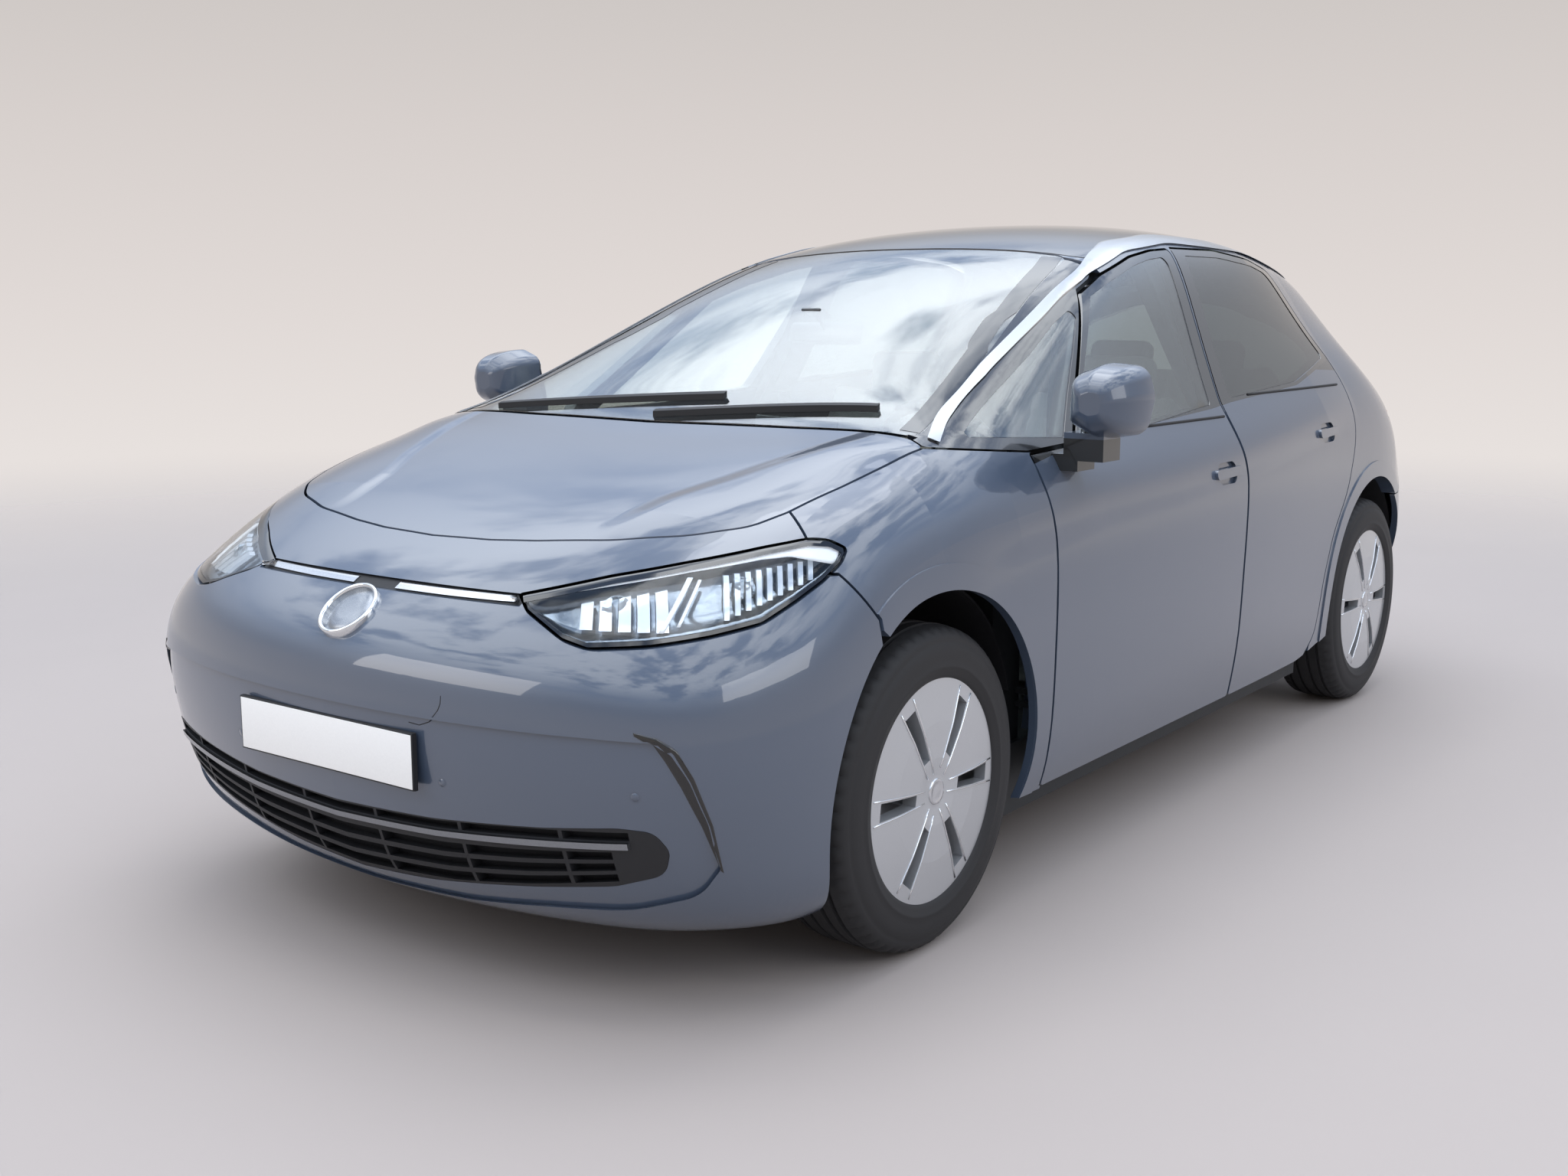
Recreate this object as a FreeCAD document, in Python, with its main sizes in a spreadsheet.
import FreeCAD, Part
import Sketcher
import math
import os

Vector = FreeCAD.Vector

doc = FreeCAD.newDocument("HatchbackCar")
sheet = doc.addObject("Spreadsheet::Sheet", "Sizes")

# Driving sizes in millimetres, angles in degrees
SIZES = [
    ("body_length", 4264), ("body_width", 1809), ("body_height", 1564),
    ("wheelbase", 2770), ("front_overhang", 846), ("front_track", 1540), ("rear_track", 1513),
    ("tyre_radius", 342), ("tyre_width", 215), ("tyre_bead_radius", 230), ("tyre_shoulder", 34),
    ("cover_radius", 236), ("rim_wall", 7), ("rim_width", 200), ("wheel_gap", 0.3),
    ("arch_radius", 395), ("arch_rise", 22), ("arch_lip_width", 50), ("arch_lip_depth", 5),
    ("shut_gap", 6), ("seat_gap", 0.3), ("overrun", 60), ("panel_depth", 18), ("bumper_depth", 28),
    ("side_depth", 42), ("roof_depth", 26), ("glass_thickness", 5), ("glass_inset", 2),
    ("trim_height", 3), ("tailgate_depth", 40), ("lamp_depth", 90), ("lamp_inset", 3),
    ("door_skin_depth", 14), ("door_frame_depth", 35), ("door_frame_inset", 18),
    ("door_inner_depth", 108), ("door_inner_inset", 32), ("door_inner_base", 350),
    ("belt_height", 975), ("ring_width", 24), ("ring_thickness", 26),
    ("hinge_setback", 45), ("hinge_inset", 48), ("hinge_pin_radius", 7), ("hinge_sleeve_radius", 13),
    ("hinge_low", 430), ("hinge_high", 800), ("hinge_height", 44), ("hinge_pocket_radius", 24),
    ("front_door_edge", 1312), ("rear_door_edge", 2428),
    ("sill_base", 165), ("sill_height", 165), ("sill_inner", 640), ("sill_outer", 790),
    ("sill_front", 1240), ("sill_rear", 3150), ("pillar_inner", 700), ("pillar_outer", 775),
    ("front_pillar_front", 1235), ("centre_pillar_front", 2396), ("centre_pillar_rear", 2462),
    ("floor_base", 292), ("floor_thickness", 18), ("battery_base", 152), ("battery_half_width", 630),
    ("battery_front", 1330), ("battery_rear", 3080), ("battery_round", 25),
    ("bulkhead_front", 1075), ("bulkhead_thickness", 20), ("bulkhead_top", 905),
    ("wheelhouse_inner", 470), ("wheelhouse_radius", 404), ("liner_thickness", 5),
    ("rear_house_inner", 610), ("kingpin_offset", 45), ("kingpin_radius", 16),
    ("ball_height", 182), ("strut_foot_height", 504), ("strut_top", 820), ("strut_offset", 150),
    ("strut_radius", 24), ("spring_radius", 58), ("spring_base", 700),
    ("hub_radius", 42), ("stub_radius", 18), ("disc_radius", 150), ("disc_thickness", 24),
    ("seat_offset", 370), ("seat_width", 500), ("seat_front", 1900), ("seat_length", 500),
    ("cushion_base", 420), ("cushion_height", 180), ("back_thickness", 130), ("back_height", 640),
    ("back_angle", 22), ("headrest_width", 250), ("headrest_height", 150), ("headrest_depth", 90),
    ("rear_seat_front", 2790), ("rear_seat_width", 1190), ("rear_cushion_length", 480),
    ("rear_back_height", 600), ("rear_back_angle", 25), ("rear_back_thickness", 120),
    ("seat_round", 30), ("rail_width", 30),
    ("dash_front", 1095.3), ("dash_rear", 1520), ("dash_top", 985), ("dash_base", 560),
    ("dash_half_width", 660), ("steering_radius", 182), ("steering_rim_radius", 15),
    ("steering_station", 1690), ("steering_height", 905), ("steering_tilt", 25),
    ("boot_floor_height", 560), ("boot_floor_front", 3284), ("boot_floor_rear", 4060),
    ("boot_half_width", 595), ("boot_floor_thickness", 20),
    ("bonnet_axis_station", 1064), ("bonnet_axis_height", 1012), ("bonnet_arm_offset", 620), ("tailgate_arm_offset", 150),
    ("tailgate_seam", 3911), ("tailgate_axis_station", 3871), ("tailgate_axis_depth", 12),
    ("lid_eye_gap", 1.5), ("lid_slot_gap", 3), ("lid_arm_width", 12), ("lid_pin_radius", 6), ("carrier_plate", 14), ("beam_half_width", 540), ("beam_front", 120), ("beam_rear", 180),
    ("rail_base", 416), ("rail_top", 526), ("rail_inner", 380), ("rail_outer", 440), ("fender_rail_inner", 748),
    ("mirror_span", 2069), ("mirror_station", 1468), ("mirror_height", 1108), ("mirror_depth", 136),
    ("mirror_half_height", 86), ("mirror_foot_front", 1405), ("mirror_foot_rear", 1490), ("mirror_foot_base", 952),
    ("mirror_foot_top", 990),
    ("door_sweep_radius", 90), ("cowl_front", 1022), ("recess_depth", 9), ("lip_inner", 390), ("lip_outer", 448), ("lip_rise", 4), ("grille_web", 4),
    ("handle_cup_depth", 9), ("handle_cup_half", 29), ("handle_cup_length", 122), ("handle_front", 2198), ("handle_rear", 3030), ("handle_length", 176), ("front_handle_height", 878),
    ("rear_handle_height", 935), ("tray_web_top", 985),
    ("plate_width", 520), ("plate_height", 110), ("plate_level", 489), ("plate_station", 6),
    ("plate_holder_depth", 8), ("plate_screw_spacing", 305), ("plate_screw_radius", 2.5),
    ("front_liner_base", 290), ("rear_liner_base", 330), ("liner_outset", 84),
    ("wiper_width", 14), ("motor_radius", 150), ("motor_length", 420), ("motor_height", 345),
]

for row, (alias, value) in enumerate(SIZES, start=1):
    sheet.set("A%d" % row, alias)
    sheet.set("B%d" % row, str(value))
    sheet.setAlias("B%d" % row, alias)
doc.recompute()


def size(alias):
    return float(sheet.get(alias))


length = size("body_length")
half_width = size("body_width") / 2
height = size("body_height")
gap = size("shut_gap")
overrun = size("overrun")
front_axle = size("front_overhang") - length / 2
rear_axle = front_axle + size("wheelbase")


def station(distance):
    """Y of a place given as its distance behind the nose."""
    return distance - length / 2


# Control net of the body skin, left half from the centre line out and down to the sill.
# Each place is a share of the half width, of the length from the nose and of the height.
body_net_shares = [
    [(0, .035, .105), (.35, .043, .105), (.62, .058, .105), (.75, .072, .107),
     (.84, .088, .11), (.89, .102, .112), (.915, .115, .115), (.93, .13, .12),
     (.94, .15, .13), (.945, .17, .14), (.945, .19, .15)],
    [(0, .018, .125), (.36, .024, .125), (.65, .04, .128), (.79, .054, .13),
     (.885, .072, .132), (.935, .09, .134), (.972, .108, .136), (.985, .124, .14),
     (.985, .145, .15), (.983, .165, .16), (.98, .187, .17)],
    [(0, .006, .215), (.37, .011, .215), (.67, .027, .215), (.825, .042, .215),
     (.92, .064, .215), (.97, .088, .215), (.992, .108, .215), (.998, .125, .21),
     (.998, .145, .205), (.995, .165, .2), (.99, .187, .19)],
    [(0, 0, .35), (.37, .004, .35), (.68, .019, .35), (.84, .035, .35),
     (.93, .058, .35), (.975, .084, .345), (.996, .106, .335), (1.003, .125, .32),
     (1.003, .145, .29), (1, .165, .255), (.995, .189, .215)],
    [(0, .005, .425), (.37, .009, .427), (.68, .025, .43), (.83, .043, .432),
     (.92, .068, .434), (.966, .094, .427), (.99, .116, .41), (1, .138, .38),
     (1.003, .155, .335), (1, .172, .28), (.997, .192, .225)],
    [(0, .02, .47), (.36, .025, .473), (.65, .041, .48), (.8, .064, .489),
     (.89, .092, .494), (.943, .118, .492), (.976, .141, .475), (.995, .16, .43),
     (1.002, .172, .37), (.995, .183, .3), (.995, .194, .235)],
    [(0, .045, .515), (.35, .051, .52), (.63, .07, .533), (.77, .098, .551),
     (.865, .127, .56), (.925, .15, .553), (.96, .167, .523), (.987, .178, .46),
     (.998, .184, .39), (.998, .19, .31), (.995, .196, .24)],
    [(0, .09, .568), (.34, .096, .574), (.6, .113, .588), (.74, .14, .601),
     (.85, .163, .602), (.912, .178, .583), (.958, .187, .54), (.987, .192, .475),
     (1, .195, .4), (1, .197, .32), (.995, .198, .245)],
    [(0, .148, .615), (.34, .153, .62), (.6, .168, .63), (.74, .188, .635),
     (.848, .203, .629), (.912, .211, .603), (.962, .215, .555), (.989, .214, .485),
     (1, .208, .41), (1, .204, .32), (.995, .2, .245)],
    [(0, .198, .648), (.35, .201, .652), (.62, .209, .659), (.77, .219, .661),
     (.86, .23, .645), (.916, .235, .612), (.964, .238, .564), (.991, .237, .495),
     (1, .228, .41), (1, .216, .31), (.99, .206, .23)],
    [(0, .236, .672), (.36, .237, .673), (.64, .238, .671), (.79, .241, .666),
     (.87, .252, .648), (.916, .258, .616), (.963, .263, .568), (.992, .265, .5),
     (.998, .256, .38), (.99, .24, .26), (.96, .225, .16)],
    [(0, .285, .728), (.36, .287, .727), (.66, .291, .718), (.79, .3, .708),
     (.865, .307, .665), (.91, .31, .63), (.963, .309, .577), (.995, .306, .51),
     (.992, .3, .34), (.985, .297, .19), (.95, .294, .147)],
    [(0, .375, .832), (.35, .377, .829), (.62, .382, .82), (.745, .388, .81),
     (.835, .388, .713), (.91, .388, .637), (.966, .386, .583), (.997, .384, .52),
     (.99, .38, .34), (.985, .38, .195), (.95, .38, .147)],
    [(0, .465, .93), (.33, .466, .926), (.575, .469, .915), (.69, .472, .901),
     (.8, .47, .765), (.909, .466, .644), (.967, .464, .589), (1, .463, .528),
     (.988, .463, .34), (.985, .463, .225), (.95, .463, .147)],
    [(0, .545, .983), (.32, .545, .977), (.55, .545, .961), (.66, .545, .941),
     (.78, .545, .795), (.906, .545, .657), (.967, .545, .6), (1, .545, .54),
     (.986, .545, .34), (.983, .545, .24), (.95, .545, .147)],
    [(0, .64, 1.004), (.32, .64, .997), (.55, .64, .977), (.645, .64, .955),
     (.77, .64, .81), (.898, .64, .674), (.962, .64, .615), (.995, .64, .555),
     (.977, .64, .34), (.974, .64, .24), (.95, .64, .147)],
    [(0, .755, .987), (.31, .752, .98), (.54, .747, .961), (.635, .744, .939),
     (.76, .742, .81), (.882, .742, .695), (.949, .742, .632), (.98, .742, .57),
     (.965, .735, .34), (.963, .725, .22), (.94, .715, .147)],
    [(0, .855, .955), (.31, .848, .949), (.53, .834, .93), (.61, .825, .905),
     (.73, .815, .8), (.862, .805, .71), (.936, .8, .642), (.971, .8, .575),
     (.97, .805, .4), (.967, .82, .3), (.96, .835, .23)],
    [(0, .922, .918), (.3, .915, .912), (.51, .898, .893), (.59, .882, .87),
     (.71, .87, .79), (.843, .86, .715), (.922, .857, .645), (.964, .856, .575),
     (.97, .853, .44), (.967, .851, .34), (.96, .85, .25)],
    [(0, .935, .855), (.31, .928, .85), (.53, .91, .835), (.63, .893, .815),
     (.74, .887, .755), (.838, .884, .7), (.912, .884, .64), (.955, .886, .57),
     (.966, .875, .44), (.966, .865, .34), (.96, .855, .25)],
    [(0, .965, .7), (.34, .96, .697), (.6, .946, .69), (.73, .932, .68),
     (.81, .925, .66), (.87, .92, .64), (.908, .915, .6), (.945, .91, .545),
     (.962, .893, .43), (.965, .876, .34), (.96, .86, .25)],
    [(0, .982, .57), (.36, .978, .57), (.64, .966, .568), (.77, .953, .563),
     (.85, .943, .553), (.9, .935, .54), (.923, .925, .52), (.945, .915, .485),
     (.961, .897, .41), (.964, .88, .33), (.96, .862, .25)],
    [(0, .998, .455), (.37, .995, .455), (.66, .983, .453), (.8, .967, .45),
     (.88, .953, .445), (.925, .94, .438), (.945, .927, .425), (.957, .912, .4),
     (.963, .895, .36), (.964, .88, .305), (.96, .862, .24)],
    [(0, 1, .36), (.37, .997, .36), (.66, .985, .358), (.8, .968, .355),
     (.885, .952, .35), (.93, .937, .345), (.947, .922, .335), (.957, .907, .32),
     (.962, .892, .3), (.962, .877, .27), (.957, .862, .23)],
    [(0, .988, .25), (.36, .986, .25), (.64, .976, .248), (.78, .96, .245),
     (.87, .944, .242), (.92, .928, .24), (.938, .915, .235), (.948, .902, .23),
     (.953, .888, .225), (.953, .875, .22), (.95, .862, .21)],
    [(0, .962, .195), (.35, .961, .195), (.62, .953, .192), (.75, .94, .188),
     (.84, .927, .185), (.89, .915, .18), (.92, .905, .178), (.94, .893, .175),
     (.95, .882, .175), (.95, .872, .18), (.95, .862, .19)],
]


def full_net():
    """Mirror the half net, so that the middle column lies on the centre line."""
    rows = []
    for half in body_net_shares:
        left = [Vector(a * half_width, b * length, c * height) for a, b, c in half]
        right = [Vector(-p.x, p.y, p.z) for p in left[:0:-1]]
        rows.append(right + left)
    return rows


def skin_from(rows):
    """Bicubic surface through a clamped, evenly spaced control net."""
    surface = Part.BSplineSurface()
    row_knots = list(range(len(rows) - 2))
    column_knots = list(range(len(rows[0]) - 2))
    row_counts = [4] + [1] * (len(row_knots) - 2) + [4]
    column_counts = [4] + [1] * (len(column_knots) - 2) + [4]
    surface.buildFromPolesMultsKnots(rows, row_counts, column_counts, row_knots, column_knots,
                                     False, False, 3, 3)
    return surface


def fitted_skin():
    """Skin stretched so that it spans the body's own length, width and height."""
    rows = full_net()
    loose = skin_from(rows)
    row_end = len(rows) - 3
    column_end = len(rows[0]) - 3
    steps = 6
    points = [loose.value(i / steps, j / steps) for i in range(row_end * steps + 1)
              for j in range(column_end * steps // 2, column_end * steps + 1)]
    low = min(p.y for p in points)
    high = max(p.y for p in points)
    wide = max(p.x for p in points)
    tall = max(p.z for p in points)
    fitted = [[Vector(p.x * half_width / wide, (p.y - low) * length / (high - low) - length / 2,
                      p.z * height / tall) for p in row] for row in rows]
    return skin_from(fitted)


skin = fitted_skin()
centre_column = (len(body_net_shares[0]) * 2 - 4) / 2


def patch(row_from, row_to, column_from, column_to):
    """Part of the skin between net rows and between columns counted from the centre line."""
    part = skin.copy()
    part.segment(row_from, row_to, centre_column + column_from, centre_column + column_to)
    return part.toShape()


def thick(face, direction, depth, inset=0):
    """Solid that runs into the body along a direction, from a face or from a little inside it."""
    step = Vector(*direction).normalize()
    return face.translated(step * inset).extrude(step * depth)


def corner_path(corners, place):
    """Closed wire of straight runs and tangent arcs; each corner is (a, b, radius)."""
    count = len(corners)
    flat = [Vector(a, b, 0) for a, b, radius in corners]
    ends = []
    for i in range(count):
        before = flat[i - 1] - flat[i]
        after = flat[(i + 1) % count] - flat[i]
        turn = math.pi - before.getAngle(after)
        reach = min(before.Length, after.Length) * 0.45
        cut = min(corners[i][2] * math.tan(turn / 2), reach) if turn > 0.01 else 0
        if cut <= 0:
            ends.append((flat[i], None, flat[i]))
            continue
        start = flat[i] + before.normalize() * cut
        stop = flat[i] + after.normalize() * cut
        radius = cut / math.tan(turn / 2)
        middle = (start + stop) / 2
        inward = (middle - flat[i]).normalize()
        apex = flat[i] + inward * (radius / math.cos(turn / 2) - radius)
        ends.append((start, apex, stop))
    edges = []
    for i in range(count):
        start, apex, stop = ends[i]
        following = ends[(i + 1) % count][0]
        if apex is not None:
            edges.append(Part.Arc(place(start), place(apex), place(stop)).toShape())
        if (following - stop).Length > gap / 1000:
            edges.append(Part.LineSegment(place(stop), place(following)).toShape())
    return Part.Wire(edges)


def outline_face(corners, place, grow=0):
    face = Part.Face(corner_path(corners, place))
    if grow:
        face = face.makeOffset2D(grow)
    return face


def side_view(shares, grow=0, side=1):
    """Prism across one half of the car from an outline of (station, height, radius) shares."""
    corners = [(a * length, b * height, r * height) for a, b, r in shares]
    face = outline_face(corners, lambda p: Vector(0, station(p.x), p.y), grow)
    return face.extrude(Vector(side * half_width * 1.3, 0, 0))


def mirrored_corners(corners):
    """Whole outline from its left half, which starts and ends on the centre line."""
    return corners + [(-a, b, r) for a, b, r in corners[-2:0:-1]]


def plan_view(shares, grow=0, whole=True):
    """Upright prism from an outline of (half width, station, radius) shares."""
    corners = [(a * half_width, b * length, r * height) for a, b, r in shares]
    if whole:
        corners = mirrored_corners(corners)
    face = outline_face(corners, lambda p: Vector(p.x, station(p.y), 0), grow)
    return face.extrude(Vector(0, 0, height * 1.3))


def end_view(shares, toward, grow=0, whole=True):
    """Prism along the car, to the nose (-1) or the tail (1), from (half width, height, radius)."""
    corners = [(a * half_width, b * height, r * height) for a, b, r in shares]
    if whole:
        corners = mirrored_corners(corners)
    face = outline_face(corners, lambda p: Vector(p.x, 0, p.y), grow)
    return face.extrude(Vector(0, toward * length * 0.6, 0))


corner_turn = math.radians(50)


def corner_view(shares, grow=0):
    """Prism seen from the left front corner; the first share runs around that corner."""
    across = Vector(math.cos(corner_turn), math.sin(corner_turn), 0)
    toward = Vector(math.sin(corner_turn), -math.cos(corner_turn), 0)
    nose = Vector(0, station(0), 0)
    corners = [(a * half_width, b * height, r * height) for a, b, r in shares]
    face = outline_face(corners, lambda p: nose + across * p.x + Vector(0, 0, p.y), grow)
    return face.translated(toward * (-half_width)).extrude(toward * (half_width * 3))


def box(x_from, x_to, s_from, s_to, z_from, z_to):
    """Box between two widths, two stations and two heights."""
    corner = Vector(x_from, station(s_from), z_from)
    return Part.makeBox(x_to - x_from, s_to - s_from, z_to - z_from, corner)


def rod(radius, start, finish):
    step = finish - start
    return Part.makeCylinder(radius, step.Length, start, step)


def mirror(shape):
    return shape.mirror(Vector(0, 0, 0), Vector(1, 0, 0))


def solid_of(shape):
    """The solids of a shape without slivers, as one solid or one compound."""
    solids = shape.Solids
    largest = max(s.Volume for s in solids)
    kept = [s for s in solids if s.Volume > largest / 300]
    return kept[0] if len(kept) == 1 else Part.makeCompound(kept)


def add(name, shape, cleaned=True):
    """A sub-part whose form is set from the sheet's sizes."""
    item = doc.addObject("Part::Feature", name)
    item.Shape = solid_of(shape) if cleaned else shape
    item.Placement = FreeCAD.Placement()
    item.Label = name
    NODES.append(item)
    return item


def pair(name, shape):
    """A piece of the left side and its mirror image, each a sub-part of its own."""
    add(name + "_left", shape)
    add(name + "_right", mirror(shape))


def both(name, shape):
    """Left and right pieces that are fixed to the same body, as one sub-part."""
    left = solid_of(shape)
    add(name, Part.makeCompound(left.Solids + mirror(left).Solids))


NODES = []

# Outlines of the shut lines, panes and lamps
bonnet_shares = [(0, .070, 0), (.175, .072, .2), (.299, .076, .2), (.483, .085, .2), (.638, .099, .15),
                 (.732, .117, .08), (.765, .136, .08), (.792, .170, .2), (.808, .204, .3),
                 (.819, .232, .01), (.774, .235, .02), (.442, .229, .3), (0, .226, 0)]
windscreen_shares = [(0, .231, 0), (.442, .234, .3), (.774, .240, .02), (.678, .345, .3),
                     (.609, .418, .3), (.556, .486, .03), (0, .484, 0)]
roof_shares = [(0, .4855, 0), (.560, .4875, .0), (.612, .490, .02), (.598, .533, .3), (.582, .604, .5),
               (.540, .762, .5), (.510, .868, .3), (.500, .917, 0), (0, .917, 0)]
tailgate_shares = [(0, .480, 0), (.650, .484, .03), (.722, .545, .05), (.742, .625, .05),
                   (.715, .700, .1), (.660, .775, .1), (.600, .850, .1), (.553, .897, .05),
                   (.520, .990, .02), (0, 1.02, 0)]
rear_window_shares = [(0, .655, 0), (.545, .662, .03), (.580, .685, .03), (.520, .752, .1),
                      (.420, .792, .2), (.200, .840, .3), (0, .855, 0)]
front_door_shares = [(.3077, .151, .012), (.5680, .151, .008), (.5680, .543, .3), (.5640, .676, .03),
                     (.5985, .945, .008), (.568, .940, .3), (.533, .927, .3), (.481, .894, .2),
                     (.447, .864, .01), (.358, .641, .012), (.3077, .636, .004)]
front_pane_shares = [(.365, .650, .008), (.450, .653, .3), (.549, .674, .01), (.584, .930, .012),
                     (.558, .924, .3), (.533, .913, .3), (.488, .884, .2), (.454, .858, .012)]
rear_door_shares = [(.5694, .151, .008), (.713, .151, .03), (.731, .192, .05), (.737, .300, .2),
                    (.752, .392, .2), (.778, .470, .2), (.795, .575, .3), (.804, .691, .2),
                    (.805, .738, .02), (.785, .914, .03), (.750, .935, .3), (.680, .948, .3),
                    (.6025, .947, .006), (.5662, .678, .03), (.5694, .543, .3)]
rear_pane_shares = [(.582, .681, .01), (.708, .698, .3), (.795, .739, .012), (.774, .908, .04),
                    (.746, .922, .1), (.680, .934, .3), (.617, .934, .012)]
quarter_pane_shares = [(.262, .6655, .004), (.350, .6515, .01), (.437, .849, .012), (.403, .817, .3),
                       (.366, .774, .3), (.328, .734, .3)]
pillar_region_shares = [(.2275, .658, .01), (.3077, .640, .02), (.3565, .6445, .012),
                        (.4465, .8685, .01), (.481, .899, .2), (.4830, 1.05, 0), (.2275, 1.05, 0)]
strip_shares = [(.2440, .6625, .002), (.3663, .7915, .5), (.4683, .8952, .4), (.5333, .9380, .4),
                (.604, .9572, .6), (.762, .9490, .8), (.868, .905, .8), (.9165, .868, 0),
                (.9165, .888, 0), (.868, .924, .8), (.762, .966, .8), (.604, .9735, .6),
                (.5333, .9545, .4), (.4683, .9120, .4), (.3663, .8085, .5), (.2410, .6735, .002)]
strip_plan_shares = [(.831, .2427, 0), (.774, .270, .5), (.752, .300, .5), (.730, .330, .5), (.714, .3663, .5),
                     (.700, .400, .5), (.681, .430, .5), (.668, .4683, .3), (.74, .5333, .1), (.74, .872, 0),
                     (.42, .872, 0), (.55, .5333, .1), (.634, .4683, .3), (.650, .430, .5), (.667, .400, .5),
                     (.682, .3663, .5), (.697, .330, .5), (.721, .300, .5), (.741, .270, .5), (.798, .2427, 0)]
grille_base_shares = [(0, .1395), (.30, .151), (.50, .1675), (.70, .188)]
grille_bar_shares = [(0, .2135), (.30, .219), (.50, .2265), (.74, .236)]
grille_top_shares = [(0, .233), (.30, .239), (.50, .248), (.70, .257)]
bumper_recess_shares = [(0, .367, 0), (.690, .3675, .02), (.800, .3655, .01), (.832, .352, .01), (.858, .322, .1),
                        (.877, .268, .1), (.879, .210, .01), (.84, .176, .1), (.70, .150, .2), (.52, .140, .2),
                        (.30, .124, .2), (0, .117, 0)]
mirror_outline_shares = [(-1, -.62, .25), (-.2, -.98, .45), (.82, -.80, .5), (1, .15, .5),
                         (.78, .92, .5), (-.2, 1, .5), (-.95, .72, .35)]
mirror_section_shares = [(1, .30), (.88, .62), (.55, .88), (.15, .99), (-.08, 1)]
lamp_shares = [(.416, .505, .003), (.599, .529, .5), (.751, .545, .5), (.911, .560, .3),
               (1.008, .5672, .1), (1.054, .5645, .05), (1.088, .554, .004), (1.070, .540, .05),
               (1.019, .522, .1), (.953, .504, .1), (.872, .484, .1), (.765, .474, .1),
               (.645, .465, .1), (.529, .460, .06), (.485, .467, .04), (.425, .491, .01)]
bar_shares = [(0, .4945, 0), (.424, .4945, .003), (.440, .5045, .003), (0, .5055, 0)]
nose_shares = [(0, -.02, 0), (.842, -.02, 0), (.842, .128, 0), (.768, .1368, .0), (0, .200, 0)]
bumper_side_shares = [(-.02, .06, 0), (-.02, .532, 0), (.1295, .528, .002), (.1385, .4935, .01),
                      (.1445, .470, 0), (.1445, .06, 0)]
rear_bumper_side_shares = [(.850, .06, 0), (.850, .43, 0), (.922, .435, .01), (.935, .474, .02), (1.02, .478, 0),
                           (1.02, .06, 0)]
tail_lamp_shares = [(.900, .600, .006), (.918, .650, .01), (1.02, .660, 0), (1.02, .600, 0)]
intake_shares = [(0, .235, 0), (.293, .240, .3), (.559, .251, .3), (.721, .261, .1), (.787, .258, .02),
                 (.807, .234, .02), (.790, .203, .03), (.688, .183, .1), (.515, .168, .2),
                 (.224, .146, .2), (0, .137, 0)]

# Whole-skin cutting tools that several panels share
bonnet_cut = plan_view(bonnet_shares, gap / 2)
windscreen_cut = plan_view(windscreen_shares, gap / 2)
roof_cut = plan_view(roof_shares, gap / 2)
tailgate_cut = end_view(tailgate_shares, 1, gap / 2).common(
    box(-half_width * 2, half_width * 2, size("tailgate_seam") - gap, length * 2, 0, height * 2))
lamp_left_cut = corner_view(lamp_shares, gap / 2)
lamp_cuts = [lamp_left_cut, mirror(lamp_left_cut)]
arch_height = size("tyre_radius") + size("arch_rise")
arch_cuts = [Part.makeCylinder(size("arch_radius"), half_width * 3, Vector(-half_width * 1.5, y, arch_height),
                               Vector(1, 0, 0)) for y in (front_axle - gap, rear_axle)]


def skin_point(distance, level):
    """Place on the left side of the skin at a station and a height, found by shooting a ray."""
    ray = Part.makeLine(Vector(half_width * 0.2, station(distance), level),
                        Vector(half_width * 1.2, station(distance), level))
    hits = SIDE_FACE.section(ray).Vertexes
    return max((v.Point for v in hits), key=lambda p: p.x)


SIDE_FACE = patch(9, 22, 2, 9)


def terms(*parts):
    """A length as its value and as the sheet expression that gives it; parts are (factor, alias)."""
    value = sum(factor * size(alias) for factor, alias in parts)
    text = " + ".join("%g * Sizes.%s" % part for part in parts)
    return value, text.replace("+ -", "- ")


def bound_place(item, x, y, z, turn=None):
    """Put an object at a place given by three lengths; turn is an axis and an angle."""
    rotation = FreeCAD.Rotation(turn[0], turn[1]) if turn else FreeCAD.Rotation()
    item.Placement = FreeCAD.Placement(Vector(x[0], y[0], z[0]), rotation)
    for axis, part in zip("xyz", (x, y, z)):
        item.setExpression("Placement.Base." + axis, part[1])


def bound_box(name, sizes, place, turn=None):
    item = doc.addObject("Part::Box", name)
    for side, part in zip(("Length", "Width", "Height"), sizes):
        item.setExpression(side, part[1])
    bound_place(item, *place, turn)
    return item


def softened(item, alias):
    """All edges of a box rounded."""
    doc.recompute()
    rounded = doc.addObject("Part::Fillet", item.Name + "Round")
    rounded.Base = item
    rounded.Edges = [(i + 1, size(alias), size(alias)) for i in range(len(item.Shape.Edges))]
    return rounded


def bound_rod(name, radius, tall, place, turn=None):
    item = doc.addObject("Part::Cylinder", name)
    item.setExpression("Radius", radius[1])
    item.setExpression("Height", tall[1])
    bound_place(item, *place, turn)
    return item


def joined(name, items):
    """One node made of several bound solids."""
    whole = doc.addObject("Part::MultiFuse", name)
    whole.Shapes = items
    whole.Label = name
    NODES.append(whole)
    return whole


def alone(item, name):
    item.Label = name
    NODES.append(item)
    return item


nothing = (0, "0 mm")
upright = Vector(0, 0, 1)
along_x = (Vector(0, 1, 0), 90)


def at_station(*parts):
    """Y of a station that is a sum of sheet sizes."""
    value, text = terms(*parts, (-0.5, "body_length"))
    return value, text


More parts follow.
